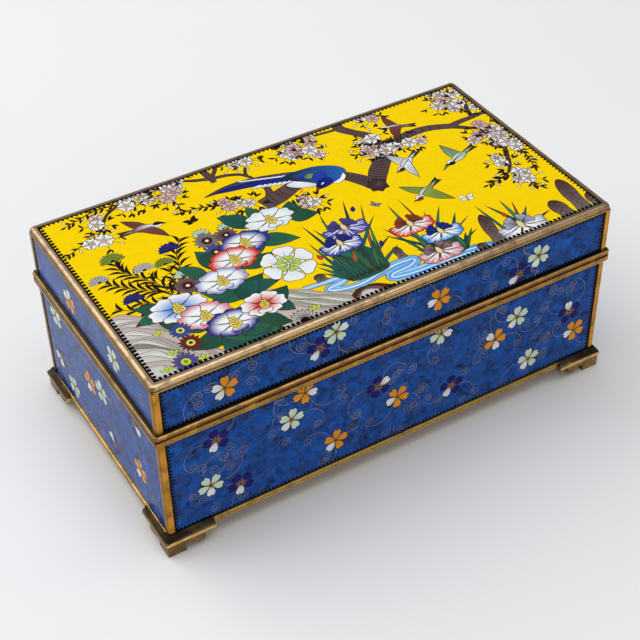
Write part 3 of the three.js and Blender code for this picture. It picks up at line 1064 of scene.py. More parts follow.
class Inlay:
    """Cells of enamel and lines of wire laid one over another on a panel, each cutting what is under it."""

    def __init__(self, width, height, ground, wire_width):
        self.half = Vector((width / 2, height / 2))
        self.wire_width = wire_width
        self.layers = []  # outline, paint and material slot, lowest first
        self.loose_points = []
        self.loose_layers = []  # the layer that each loose point shades
        self.lay([Vector((x * width / 2, y * height / 2)) for x, y in ((-1, -1), (1, -1), (1, 1), (-1, 1))], ground, GROUND)

    def lay(self, outline, paint, slot):
        """Adds one layer, unless the outline is too small or crosses itself."""
        kept = [p for k, p in enumerate(outline) if (p - outline[k - 1]).length > 0.004]
        if len(kept) < 3 or not is_simple(kept):
            return False
        self.layers.append((anticlockwise(kept), paint, slot))
        return True

    def cell(self, outline, paint, wire=None, slot=WIRE):
        """A cell of enamel with a wire round it, or a dark line of enamel."""
        wire = self.wire_width if wire is None else wire
        outline = anticlockwise(outline)
        if not self.lay(grown(outline, wire / 2), BLACK, slot):
            self.lay(outline, BLACK, slot)
        inside = shrunk(outline, wire / 2)
        if not self.lay(inside, paint, ENAMEL):
            inside = outline
            self.lay(inside, paint, ENAMEL)
        if callable(paint):
            shading = inner_points(inside, 0.9)
            self.loose_points += shading
            self.loose_layers += [len(self.layers) - 1] * len(shading)

    def ribbon(self, points, widths, paint, slot):
        """A line with a width, in short lengths where its bends would make it cross itself."""
        if self.lay(stroke(points, widths), paint, slot):
            return
        last = len(points) - 1
        for k in range(last):
            ends = width_at(widths, k / last), width_at(widths, (k + 1) / last)
            self.lay(stroke(points[k : k + 2], ends), paint, slot)
            self.lay(disc(points[k + 1], ends[1] / 2, 10), paint, slot)

    def band(self, points, widths, paint):
        """A line of enamel between two wires."""
        around = [self.wire_width + width for width in widths]
        inside = [max(width - self.wire_width, 0.1) for width in widths]
        self.ribbon(points, around, BLACK, WIRE)
        self.ribbon(points, inside, paint, ENAMEL)

    def wire(self, points, width=None):
        """A line of bare wire."""
        self.ribbon(points, self.wire_width if width is None else width, BLACK, WIRE)

    def line(self, points, widths, paint):
        """A line of enamel with no wire."""
        self.ribbon(points, widths, paint, ENAMEL)

    def shades(self, sources, first_loose, top):
        """Whether a point is one of the loose points of the layer on top."""
        return any(s >= first_loose and self.loose_layers[s - first_loose] == top for s in sources)

    def without_hidden(self, points, kept, sources, first_loose):
        """Leaves out the points of lines that lie under another layer, and fills the areas again."""
        sides = {}
        for triangle, top in kept:
            for pair in edges_of(triangle):
                sides[pair] = top
        borders = sorted({tuple(sorted(pair)) for pair, top in sides.items() if sides.get(pair[::-1]) != top})
        wanted = {k for pair in borders for k in pair}
        for triangle, top in kept:
            if callable(self.layers[top][1]):
                wanted.update(k for k in triangle if self.shades(sources[k], first_loose, top))
        order = sorted(wanted)
        place = {old: new for new, old in enumerate(order)}
        lines = [(place[a], place[b]) for a, b in borders]
        made = delaunay_2d_cdt([points[k] for k in order], lines, [], 0, 1e-6, True)
        found, triangles = made[0], made[2]
        tops = {}
        for (first, second), origins in zip(made[1], made[4]):
            if not origins:
                continue
            a, b = borders[origins[0]]
            if (found[second] - found[first]).dot(points[b] - points[a]) < 0:
                first, second = second, first
            tops[first, second] = sides.get((a, b))
            tops[second, first] = sides.get((b, a))
        holder = {pair: k for k, triangle in enumerate(triangles) for pair in edges_of(triangle)}
        owners = [None] * len(triangles)
        for pair, k in holder.items():
            if tops.get(pair) is not None:
                owners[k] = tops[pair]
        waiting = [k for k, top in enumerate(owners) if top is not None]
        while waiting:
            k = waiting.pop()
            for a, b in edges_of(triangles[k]):
                other = holder.get((b, a))
                if other is not None and (a, b) not in tops and owners[other] is None:
                    owners[other] = owners[k]
                    waiting.append(other)
        return found, [(triangle, top) for triangle, top in zip(triangles, owners) if top is not None]

    def make_mesh(self, name, to_space):
        """One flat sheet of triangles, each with the colour and the slot of its topmost layer."""
        corners, rings = [], []
        for outline, _, _ in self.layers:
            rings.append(range(len(corners), len(corners) + len(outline)))
            corners.extend(outline)
        rings = [list(ring) for ring in rings]
        made = delaunay_2d_cdt(corners + self.loose_points, [], rings, 1, 1e-4, True)
        points, triangles, owners = made[0], made[2], made[5]
        kept = [(t, max(o)) for t, o in zip(triangles, owners) if 0 in o]
        points, kept = self.without_hidden(points, kept, made[3], len(corners))
        used = sorted({k for t, _ in kept for k in t})
        renumber = {old: new for new, old in enumerate(used)}
        mesh = bpy.data.meshes.new(name)
        mesh.from_pydata([to_space(points[k]) for k in used], [], [[renumber[k] for k in t] for t, _ in kept])
        mesh.polygons.foreach_set("material_index", [self.layers[top][2] for _, top in kept])
        colours = mesh.color_attributes.new("enamel_colour", "FLOAT_COLOR", "CORNER")
        values = []
        for triangle, top in kept:
            paint = self.layers[top][1]
            for k in triangle:
                values.extend((*(paint(points[k]) if callable(paint) else paint), 1.0))
        colours.data.foreach_set("color", values)
        return mesh


def add_border(art, near_band, near_radius, pitch, far=1.0):
    """The black border: a band along the edge and a row of round dots inside it, finer at the back and right."""
    x, y = art.half
    for sign, share in ((-1, 1.0), (1, far)):
        band, dot_radius = share * near_band, share * near_radius
        for run, across in ((Vector((x, 0)), Vector((0, sign * y))), (Vector((0, y)), Vector((sign * x, 0)))):
            inward = -across.normalized()
            edge = [across - run, across + run]
            art.lay(edge + [p + inward * band for p in edge[::-1]], BLACK, ENAMEL)
            count = round(2 * run.length / pitch)
            for k in range(count):
                middle = across + run * ((2 * k + 1) / count - 1) + inward * (band + 0.75 * dot_radius)
                art.lay(disc(middle, dot_radius, 10), BLACK, ENAMEL)


def make_panel(name, node, art, across, up, materials):
    """Turns a drawing into a closed panel: the drawn face, its edges and a plain back."""
    low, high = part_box(node)
    normal = across.cross(up)
    depth = abs((high - low).dot(normal))
    face = (low + high) / 2 + normal * depth / 2
    mesh = art.make_mesh(name, lambda p: face + (across * p.x + up * p.y) * MM)
    piece = bpy.data.objects.new(name, mesh)
    bpy.context.scene.collection.objects.link(piece)
    take_up(piece)
    for material in materials:
        mesh.materials.append(material)
    bpy.ops.object.mode_set(mode="EDIT")
    bpy.ops.mesh.select_mode(type="EDGE")
    bpy.ops.mesh.select_all(action="SELECT")
    bpy.ops.mesh.region_to_loop()
    bpy.ops.mesh.extrude_edges_move(TRANSFORM_OT_translate={"value": tuple(-normal * depth)})
    bpy.ops.mesh.edge_face_add()
    close_up()
    for polygon in mesh.polygons:
        if polygon.normal.dot(normal) < 0.5:
            polygon.material_index = COUNTER
    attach(piece, BODY)
    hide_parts(node)
    return piece


# Motifs of the lid's picture


def at(x, y):
    """A place on the lid, in millimetres from its back left corner."""
    return Vector((x - LID_LENGTH / 2, LID_WIDTH / 2 - y))


def path(*places):
    return smooth([at(*place) for place in places])


def dark_leaf(art, base, degrees, length):
    art.lay(leaf(base, polar(base, degrees, length), 0.36 * length, 0.06 * length), LEAF_BLACK, ENAMEL)


def bud(art, base, degrees, length):
    """A cream bud on a thin stalk."""
    tip = polar(base, degrees, length)
    art.line([base, tip], 0.2, LEAF_BLACK)
    art.cell(leaf(polar(tip, degrees, -0.2), polar(tip, degrees, 1.6), 1.15), CREAM, 0.2)


def cherry_flower(art, place, radius, tint, turn):
    """Five notched petals, a rosy heart and short stamens."""
    heart = mix(tint, ROSE, 0.25)
    art.lay(disc(place, 0.55 * radius, 12), heart, ENAMEL)
    for k in range(5):
        art.cell(notched_petal(place, turn + 72 * k, radius, 34, 0.16), fade(place, radius, heart, tint, 0.8), 0.22)
    for k in range(5):
        bearing = turn + 72 * k
        art.line([polar(place, bearing, 0.15 * radius), polar(place, bearing, 0.5 * radius)], 0.16, ROSE)
    art.lay(disc(place, 0.15 * radius, 8), GOLD, ENAMEL)


def cherry_spray(art, place, radius, tint, rng):
    """A flower over a smaller one, with dark leaves and cream buds standing out round them."""
    turn = rng.uniform(0, 72)
    for k in range(9):
        bearing = turn + 40 * k + rng.uniform(-12, 12)
        base = polar(place, bearing, 0.7 * radius)
        if rng.random() < 0.66:
            tip = polar(base, bearing, 0.5 * radius + rng.uniform(0.9, 2.2))
            art.line([base, tip], 0.24, LEAF_BLACK)
            for shift in rng.sample((-52, 0, 48), 2):
                dark_leaf(art, polar(tip, bearing, -0.3), bearing + shift + rng.uniform(-12, 12), rng.uniform(2.4, 3.3))
        elif rng.random() < 0.7:
            bud(art, base, bearing, 0.4 * radius + rng.uniform(1.4, 2.8))
    partner = polar(place, rng.uniform(0, 360), rng.uniform(1.1, 1.4) * radius)
    cherry_flower(art, partner, 0.85 * radius, mix(tint, rng.choice((WHITE, PINK)), 0.5), rng.uniform(0, 72))
    cherry_flower(art, place, radius, tint, turn)


def leafy_twig(art, places, widths, count, rng):
    """A thin twig with dark leaves on alternate sides and a bud here and there."""
    line = path(*places)
    art.line(line, widths, BARK_DARK)
    for k in range(2 * count):
        spot = int((k + 0.6) / (2 * count) * (len(line) - 2))
        ahead = line[spot + 1] - line[spot]
        bearing = math.degrees(math.atan2(ahead.y, ahead.x))
        side = 1 if k % 2 else -1
        start = line[spot].lerp(line[spot + 1], rng.random())
        dark_leaf(art, start, bearing + side * rng.uniform(35, 60), rng.uniform(2.5, 3.5))
        if k % 5 == 3:
            bud(art, start, bearing - side * 65, 1.6)
    ahead = line[-1] - line[-2]
    dark_leaf(art, line[-1], math.degrees(math.atan2(ahead.y, ahead.x)), 2.8)


def bough(art, places, widths, ridges=0):
    """A branch with lines of bark along it, or ridges across it where it is old."""
    line = path(*places)
    last = len(line) - 1
    art.band(line, widths, BARK)
    for shift in () if ridges else (-0.22, 0.2):
        grain = []
        for k in range(1, last):
            along = (line[k + 1] - line[k - 1]).normalized()
            grain.append(line[k] + Vector((-along.y, along.x)) * shift * width_at(widths, k / last))
        art.line(grain, (0.1, 0.3, 0.1), BARK_DARK)
    for ridge in range(ridges):
        k = 1 + int(ridge / ridges * (last - 2))
        along = (line[k + 1] - line[k - 1]).normalized()
        side = Vector((-along.y, along.x)) * width_at(widths, k / last) * 0.46
        art.line(smooth([line[k] - side, line[k] + along * 0.7, line[k] + side]), (0.2, 0.5, 0.2), BARK_DARK)


def fern(art, places, count, length):
    """A stem with slender, upward curving dark leaves in pairs."""
    line = path(*places)
    art.line(line, 0.36, LEAF_BLACK)
    for k in range(count):
        spot = (k + 0.4) / count * (len(line) - 2)
        start = line[int(spot)].lerp(line[int(spot) + 1], spot % 1)
        ahead = line[int(spot) + 1] - line[int(spot)]
        bearing = math.degrees(math.atan2(ahead.y, ahead.x))
        size = length * (1 - 0.3 * k / count)
        for side in (-1, 1):
            tip = polar(start, bearing + side * 44, size)
            art.lay(leaf(polar(start, bearing + side * 62, 0.3), tip, 1.25, -side * 0.17 * size), LEAF_BLACK, ENAMEL)


def mum(art, place, width, tint):
    """A domed flower head of small petals in rows."""
    shade = mix(tint, BLACK, 0.35)
    for row, count in ((1.0, 9), (0.74, 7), (0.48, 5)):
        for k in range(count):
            bearing = 4 + 172 * k / (count - 1)
            base = polar(place, bearing, 0.5 * width * (row - 0.42))
            tip = polar(place, bearing, 0.5 * width * row)
            art.cell(leaf(base, tip, 0.17 * width), drift(base, tip, shade, tint), 0.16)
    art.lay(disc(place, 0.1 * width, 8, 0.7), LEAF_BLACK, ENAMEL)


def daisy(art, place, radius, tint, eye):
    """A many-petalled flower with a ringed eye."""
    for k in range(14):
        bearing = 360 * k / 14
        art.cell(leaf(place, polar(place, bearing, radius), 0.4 * radius), fade(place, radius, mix(tint, BLACK, 0.5), tint), 0.16)
    art.cell(disc(place, 0.38 * radius, 14), eye[0], 0.2)
    art.cell(disc(place, 0.15 * radius, 10), eye[1], 0.16)


def stamens(art, place, length, turn):
    """A golden column of stamens in two rows."""
    tip = polar(place, turn, length)
    art.cell(leaf(place, tip, 0.66 * length), hue("F0DC74"), 0.2)
    for k in range(4):
        spot = polar(place, turn, length * (0.18 + 0.19 * k))
        for side in (-1, 1):
            art.cell(leaf(spot, polar(spot, turn + side * 40, 0.3 * length), 0.16 * length), hue("E8CE5A"), 0.14)


def camellia(art, place, radius, turn, rim, heart, start=0.5, squash=0.72):
    """A bowl of broad petals, the back ones first, with a column of stamens."""
    art.cell(disc(place, 0.6 * radius, 18, squash), heart)
    petals = (
        (62, 1.0, 33), (118, 1.0, 33), (176, 1.0, 31), (4, 1.02, 31), (234, 0.9, 33), (306, 0.9, 33), (270, 0.7, 36),
    )
    for bearing, reach, spread in petals:
        petal = wavy_petal(place, turn + bearing, radius * reach, spread, squash)
        art.cell(petal, rimmed(place, radius * reach, squash, heart, rim, start))
    stamens(art, polar(place, turn + 270, 0.34 * radius), 0.66 * radius, turn + 84)


def open_bloom(art, place, radius):
    """A white flower seen from the front, with a lime heart."""
    art.cell(disc(place, 0.62 * radius, 18), hue("DCE6E8"))
    for k in range(6):
        petal = notched_petal(place, 75 + 60 * k, radius, 28, 0.03, 1.0, 0.2)
        art.cell(petal, fade(place, radius, hue("D5E2E2"), WHITE))
    for k in range(5):
        ends = polar(place, 75 + 72 * k, 0.45 * radius), polar(place, 75 + 72 * k, 0.7 * radius)
        art.line(ends, (0.2, 0.1), SAGE)
    for k in range(5):
        petal = notched_petal(place, 60 + 72 * k, 0.46 * radius, 30, 0.12)
        art.cell(petal, fade(place, 0.46 * radius, OLIVE, LIME), 0.2)


def broad_leaf(art, base, tip, width, bend, first, last):
    """A dark green leaf with gold veins."""
    base, tip = at(*base), at(*tip)
    art.cell(leaf(base, tip, width, bend, 9), drift(base, tip, first, last))
    axis = tip - base
    side = Vector((-axis.y, axis.x)).normalized()
    spine = [base + axis * t + side * bend * 4 * t * (1 - t) for t in (0.05, 0.25, 0.45, 0.65, 0.85)]
    art.wire(spine, 0.14)
    for k in (1, 2, 3):
        for sign in (-1, 1):
            art.wire([spine[k], spine[k] + axis * 0.12 + side * sign * width * 0.3], 0.12)


def sword_leaf(art, base, tip, width, tint):
    base, tip = at(*base), at(*tip)
    art.cell(leaf(base, tip, width, 0.04 * (tip.x - base.x)), drift(base, tip, mix(tint, PINE, 0.4), tint), 0.18)


def iris_flower(art, place, size, upright, hanging, vein):
    """Dark upright petals over five hanging ones with pale stripes."""
    place = at(*place)
    for bearing, reach in ((186, 1.0), (-6, 1.0), (226, 1.12), (314, 1.12), (270, 0.98)):
        petal = notched_petal(place, bearing, size * reach, 25, 0.04, 0.66)
        art.cell(petal, rimmed(place, size * reach, 0.66, vein, hanging, 0.45))
        for shift in (-7, 7):
            ends = polar(place, bearing + shift, 0.3 * size, 0.66), polar(place, bearing + shift, 0.88 * size * reach, 0.66)
            art.line(ends, (0.4, 0.32), mix(WHITE, vein, 0.1))
    for bearing, reach in ((160, 0.66), (20, 0.66), (122, 0.66), (58, 0.66)):
        petal = notched_petal(place, bearing, size * reach, 22, 0.06)
        art.cell(petal, rimmed(place, size * reach, 1.0, mix(upright, BLACK, 0.5), upright, 0.3))
    art.cell(leaf(polar(place, 270, 0.2 * size), polar(place, 90, 0.34 * size), 0.24 * size), mix(GOLD, CREAM, 0.5), 0.16)


def iris_bud(art, place, bearing, tint):
    place = at(*place)
    art.cell(leaf(place, polar(place, bearing, 3.4), 1.7), tint, 0.2)


def pillar(art, base, height, width, lean):
    """An upright brown rock with a round top and rough markings."""
    foot = at(*base)
    axis = Vector((lean, height))
    side = Vector((width / 2, 0))
    marks = ((-1, 0), (-0.82, 0.3), (-0.96, 0.55), (-0.7, 0.85), (0, 1), (0.68, 0.88), (0.92, 0.62), (0.8, 0.36), (1, 0))
    outline = smooth([foot + side * across + axis * up for across, up in marks], 4)
    art.cell(outline, drift(foot, foot + axis, hue("7A6E6C"), UMBER))
    for k in range(max(3, int(height / 1.6))):
        up = 0.1 + 0.78 * k / max(3, int(height / 1.6))
        shift = 0.28 * math.sin(2.4 * k)
        mark = [foot + side * (shift - 0.42) + axis * up, foot + side * shift + axis * (up + 0.9 / height), foot + side * (shift + 0.42) + axis * up]
        art.line(smooth(mark, 4), (0.12, 0.34, 0.12), BARK_DARK)


def strata(art, ridge, drops, tints):
    """A rock of wavy layers, each lower than the last, with a thin dark line in every layer."""
    crest = path(*ridge)
    floor = -art.half.y - 60
    for drop, tint in zip(drops, tints):
        lowered = [p + Vector((0.0, -drop - 0.5 * math.sin(0.55 * p.x + drop))) for p in crest]
        art.cell([Vector((lowered[0].x, floor)), *lowered, Vector((lowered[-1].x, floor))], tint, 0.2)
        art.line([p - Vector((0, 0.8)) for p in lowered[2:-2]], (0.1, 0.25, 0.1), mix(tint, BLACK, 0.5))


def butterfly(art, place, size, turn, tint):
    place = at(*place)
    for bearing, reach in ((40, 1.0), (140, 1.0), (-10, 0.7), (190, 0.7)):
        art.cell(leaf(place, polar(place, turn + bearing, size * reach), 0.5 * size), tint, 0.16)
    art.line([polar(place, turn + 90, 0.35 * size), polar(place, turn - 90, 0.45 * size)], (0.35, 0.5, 0.2), LEAF_BLACK)


def wing(art, root_front, root_back, tip, bulge, first, last):
    """One spread wing with its flight feathers."""
    lead, trail = tip - root_front, root_back - tip
    lead_side = Vector((-lead.y, lead.x)) * bulge
    front = smooth([root_front, root_front + lead * 0.45 + lead_side, tip], 6)
    back = smooth([tip, tip + trail * 0.5 - lead_side * 0.25, root_back], 6)
    art.cell(front + back[1:-1] + [root_back], drift(root_front, tip, first, last))
    for share in (0.25, 0.5, 0.75):
        start = root_front + (root_back - root_front) * share * 0.7 + lead * 0.2
        end = tip + trail * (0.15 + 0.7 * share) - lead_side * 0.15
        art.wire([start, start.lerp(end, 0.5) + lead_side * 0.2, end], 0.13)


def flying_bird(art, place, length, heading, wings, coat, breast, cap):
    """A small bird in flight, as seen from the side: tail, wings, body and capped head."""
    place = at(*place)

    def spot(forward, left):
        return polar(polar(place, heading, forward * length), heading + 90, left * length)

    tail = [spot(-0.25, 0.07), spot(-0.72, 0.12), spot(-0.66, 0.0), spot(-0.74, -0.1), spot(-0.25, -0.07)]
    art.cell(tail, drift(spot(-0.25, 0), spot(-0.75, 0), mix(coat, WHITE, 0.3), mix(coat, BLACK, 0.5)))
    far, near = wings
    dark = mix(coat, BLACK, 0.45)
    wing(art, spot(0.2, 0.02), spot(-0.2, 0.02), polar(place, heading + far[0], far[1] * length), far[2], coat, dark)
    art.cell(leaf(spot(-0.34, 0), spot(0.42, 0.0), 0.3 * length, 0.0, 9), drift(spot(-0.3, 0), spot(0.4, 0), coat, breast))
    wing(art, spot(0.22, -0.02), spot(-0.2, -0.04), polar(place, heading + near[0], near[1] * length), near[2], coat, dark)
    art.cell(disc(spot(0.4, 0.0), 0.12 * length), breast, 0.2)
    art.cell(leaf(spot(0.28, 0.05), spot(0.56, 0.03), 0.15 * length), cap, 0.16)
    art.lay(leaf(spot(0.48, -0.01), spot(0.66, -0.04), 0.07 * length), cap, ENAMEL)


def long_tailed_bird(art):
    """The blue bird on the bough, with a long tail and its head lowered."""
    for shift, tint in ((0.0, SLATE), (1.3, VIOLET), (2.6, NAVY)):
        tail = path((60.5 + 1.5 * shift, 17.6), (70, 16.6 + 0.5 * shift), (80, 17.6 + 0.8 * shift), (92, 21.5 + 0.7 * shift), (97, 24))
        art.band(tail, (0.3, 2.6, 3.4, 4.0, 4.6), drift(at(62, 18), at(94, 22), mix(tint, BLACK, 0.4), tint))
        art.wire(tail, 0.13)
    for k in range(9):
        base = at(79 + 1.9 * k, 16.8 + 0.68 * k)
        art.cell(leaf(base, base + Vector((-4.6, 2.2)), 1.0, 0.3), WHITE, 0.14)
    for k in range(7):
        base = at(92.5 - 1.7 * k, 25.2 - 0.55 * k)
        art.cell(leaf(base, base + Vector((-5.6, -0.2)), 1.15, -0.3), WHITE, 0.14)
    for toe in ((90.2, 33.6), (92, 34.3)):
        art.line([at(93.5, 30), at(91.8, 32.4), at(*toe)], (0.7, 0.4), ORANGE)
    thigh = loop([at(88.6, 27), at(93, 25.6), at(99.5, 28), at(99, 32.4), at(93.2, 31.2)])
    art.cell(thigh, fade(at(94, 28), 5, WHITE, hue("D5DCE4")))
    body = loop([at(89.5, 21.8), at(96, 20.9), at(103, 21.7), at(108.6, 24.3), at(111.8, 28), at(111, 31.4), at(107, 34), at(101, 33.2), at(96.5, 29), at(92.5, 25.6)])
    art.cell(body, drift(at(94, 22), at(111, 30), hue("16335C"), hue("2566BA")))
    for row in range(5):
        for k in range(4):
            spot = at(104.2 + 1.55 * row - 0.2 * k, 24.4 + 1.75 * k + 0.45 * row)
            if is_inside(spot, body):
                art.wire([polar(spot, a, 0.85) for a in (-70, -35, 0, 35, 70)], 0.15)
    breast = loop([at(103.8, 34.2), at(107.4, 33), at(110.2, 30.6), at(110, 33.2), at(106.6, 35.4)])
    art.cell(breast, WHITE)
    feathers = ((hue("1E4A7A"), 0.0), (ROYAL, 1.4), (NAVY, 2.8))
    for tint, shift in feathers:
        start, end = at(104.5, 25.4 + 0.7 * shift), at(91.5 + 0.8 * shift, 22.6 + 0.9 * shift)
        art.cell(leaf(start, end, 4.0 - 0.5 * shift, 0.4), drift(start, end, mix(tint, AZURE, 0.25), mix(tint, BLACK, 0.25)))
    art.cell(loop([at(96.6, 26.4), at(98.4, 24.4), at(101, 25.4), at(99.4, 28)]), fade(at(99, 26.2), 2.4, hue("8C9C4A"), hue("3F7484")))
    art.cell(loop([at(99, 28), at(101.4, 25.6), at(104.4, 26.4), at(104, 29.6), at(101, 30.4)]), ROYAL)
    head = loop([at(97.2, 34.6), at(98.4, 31.8), at(100.6, 29.8), at(103.4, 29.6), at(105, 31.8), at(103.4, 34.2), at(100.2, 35)])
    art.cell(head, drift(at(105, 30), at(97.6, 34.6), hue("1A2C9C"), hue("0C0E46")))
    art.cell(leaf(at(98.2, 33.8), at(95.6, 36), 1.1, 0.1), RUSSET, 0.18)
    art.lay(leaf(at(99.7, 33.1), at(101.5, 32.2), 0.62, 0.16), WHITE, ENAMEL)


def draw_lid_picture(enamel):
    """Birds and flowers beside a stream, on a yellow ground."""
    low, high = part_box("lid_top_panel")
    art = Inlay((high.x - low.x) / MM, (high.y - low.y) / MM, YELLOW, enamel.wire_width / MM)
    rng = random.Random(7)
    draw_boughs(art, rng)
    draw_blossom(art, rng)
    draw_birds(art)
    draw_ferns(art)
    draw_stream(art)
    draw_irises(art)
    draw_garden(art)
    add_border(art, 0.75, 0.7, enamel.dot_pitch / MM, 0.62)
    return art


def draw_boughs(art, rng):
    """The cherry tree's trunk, limbs and twigs."""
    bough(art, ((58, 4), (62, 6.2), (66.7, 8)), (1.0, 1.5, 1.9))
    bough(art, ((73.8, 0), (71.4, 4.4), (68.2, 8)), (1.5, 1.5, 1.6))
    bough(art, ((68.5, 8.6), (73.6, 9.6), (78.2, 12), (80.8, 16)), (1.8, 1.5, 1.4, 1.2))
    bough(art, ((79.6, 13.4), (80.4, 11), (82, 8.4)), (1.3, 1.1, 0.7))
    bough(art, ((67.2, -1), (67.6, 6), (67.9, 11.2)), (2.6, 2.8, 1.8))
    bough(art, ((100, 0), (110, 3.6), (117, 4.6), (123, 5.2)), (0.6, 1.0, 1.2, 1.2))
    bough(art, ((126.4, -1), (124.2, 4.8), (127.4, 10.4), (131, 16), (131, 24), (129, 30)), (4.2, 4.2, 3.6, 4.2, 4.0, 4.6))
    bough(art, ((131, 28), (127, 31.5), (121.8, 36.6), (117.6, 42)), (4.6, 6.2, 7.2, 6.4), 16)
    bough(art, ((105, 28.5), (110.2, 33.2), (113.8, 38.4), (116.4, 43.4)), (5.0, 5.0, 6.0, 6.6), 14)
    bough(art, ((82.2, 23.2), (81.8, 26.5), (80.2, 30)), (2.2, 2.6, 3.4))
    bough(art, ((97, 27.2), (90.8, 28.4), (83, 31.2), (75.8, 32.8)), (5.6, 6.0, 7.2, 6.6), 9)
    knot = at(116.8, 43.8)
    art.cell(loop([polar(knot, 24 * k, 4.3 if k % 2 else 3.5) for k in range(15)]), fade(knot, 4.3, BARK, BARK_DARK))
    for ring in (2.6, 1.8, 1.0):
        art.line(disc(knot, ring, 16)[3:], 0.34, BARK_DARK)
    bough(art, ((134, 26), (139, 23.4), (145, 22.4), (153, 23), (161, 26.4)), (4.4, 4.2, 4.0, 3.6, 3.2), 10)
    bough(art, ((160, 26.4), (165.5, 25.6), (172, 25.4), (179, 24.7)), (3.0, 2.4, 2.0, 1.6))
    bough(art, ((160, 26), (164.4, 29.6), (168.6, 33)), (2.6, 2.0, 1.2))
    bough(art, ((171.4, 25.2), (173.2, 19), (176.6, 13)), (1.8, 1.6, 1.2))
    bough(art, ((172, 44), (167.4, 53), (164.4, 58.8), (161, 62.8)), (1.6, 1.7, 1.3, 0.8))
    bough(art, ((34, 4.4), (27, 8), (23.6, 12), (21.8, 15.2)), (1.2, 1.0, 0.9, 0.8))
    leafy_twig(art, ((21.8, 15.2), (17.2, 18.4), (10.3, 20.7), (4, 23.8)), (0.8, 0.6, 0.4), 6, rng)
    leafy_twig(art, ((32, 5), (24.7, 3.8), (17, 5.7), (11.5, 7.2)), (0.8, 0.6, 0.4), 7, rng)
    leafy_twig(art, ((161, 62.8), (155.7, 64.4), (150.4, 65)), (0.8, 0.5, 0.4), 6, rng)
    leafy_twig(art, ((173.6, 51), (173.2, 58), (171, 65)), (0.8, 0.6, 0.4), 7, rng)
    leafy_twig(art, ((66, 26), (61, 24), (55, 21.8), (49, 21.2)), (0.7, 0.7, 0.4), 6, rng)
    leafy_twig(art, ((50, 13), (50.4, 17), (49.4, 20.4)), (0.5, 0.4), 2, rng)
    leafy_twig(art, ((165, 70), (164, 73), (165.6, 76)), (0.5, 0.4), 3, rng)


def draw_blossom(art, rng):
    """Sprays of white and pink cherry flowers."""
    blush = mix(WHITE, PINK, 0.3)
    sprays = (
        (38, 2.6, 3.0, blush), (46, 2.2, 3.0, PINK), (56.4, 3.2, 2.8, blush), (51, 5, 2.7, WHITE), (42.2, 8, 2.9, blush),
        (34.6, 7.2, 3.3, WHITE), (49, 10.6, 3.4, PINK), (20.8, 12, 3.1, WHITE), (19.4, 21.4, 3.7, WHITE),
        (79.2, 4.8, 3.0, blush), (83.6, 5.2, 2.9, WHITE), (65.4, 27, 2.9, PINK), (72.2, 28.8, 2.7, blush),
        (102.6, 2.8, 2.7, blush), (98.6, 9, 3.0, WHITE), (103, 7.4, 3.2, PINK), (110, 7.2, 2.9, PINK), (107.4, 11.8, 3.2, WHITE),
        (134.6, 3.2, 3.1, WHITE), (138.6, 6, 2.6, PINK), (127, 22, 3.4, blush), (131.2, 17.6, 3.4, WHITE), (124.6, 24.6, 3.0, PINK),
        (129, 27, 3.0, blush), (135.2, 26.6, 3.3, WHITE), (141.6, 27, 3.2, WHITE), (90, 40.6, 2.8, PINK), (92.4, 40.4, 2.8, WHITE),
        (170.2, 4.6, 3.0, blush), (174.6, 8, 3.2, WHITE), (169, 9.6, 3.3, PINK), (164.6, 12, 3.0, blush), (172.4, 14.6, 3.2, WHITE),
        (176.4, 20, 2.6, WHITE), (166.6, 37, 3.2, PINK), (171.8, 35, 3.3, PINK), (176, 39, 3.0, WHITE), (171, 41, 3.2, blush),
        (172.6, 46, 3.3, WHITE), (173.6, 50.6, 2.8, WHITE), (162.6, 56.4, 2.9, WHITE), (164.6, 64.4, 3.3, WHITE), (165, 69.4, 2.8, WHITE),
    )
    for x, y, radius, tint in sprays:
        cherry_spray(art, at(x, y), radius, tint, rng)


def draw_birds(art):
    """One long-tailed bird, five small ones in flight and three butterflies."""
    long_tailed_bird(art)
    snow, soot = hue("DFE6EA"), hue("1E1A1C")
    flying_bird(art, (34, 22.4), 13, -4, ((128, 0.74, -0.1), (-52, 0.82, 0.1)), hue("7C4A42"), WHITE, soot)
    flying_bird(art, (143, 15.6), 11, 160, ((-66, 0.85, 0.1), (84, 0.78, -0.1)), hue("7A443C"), WHITE, soot)
    flying_bird(art, (133.4, 37.6), 12, 212, ((-95, 0.78, 0.1), (52, 0.86, -0.1)), snow, hue("CFE0EA"), hue("4A1E1A"))
    flying_bird(art, (152, 44.6), 13, 200, ((-98, 0.8, 0.1), (4, 0.86, -0.1)), hue("8FAE7E"), WHITE, soot)
    flying_bird(art, (129.4, 56.2), 12.5, 208, ((-74, 0.82, 0.1), (96, 0.9, -0.1)), hue("8FA84A"), WHITE, RUSSET)
    butterfly(art, (50.3, 27.8), 3.6, 15, LEAF_BLACK)
    butterfly(art, (109.4, 53.6), 2.7, -50, hue("8B8494"))
    butterfly(art, (139.2, 67.8), 3.8, -12, hue("EDEDE2"))


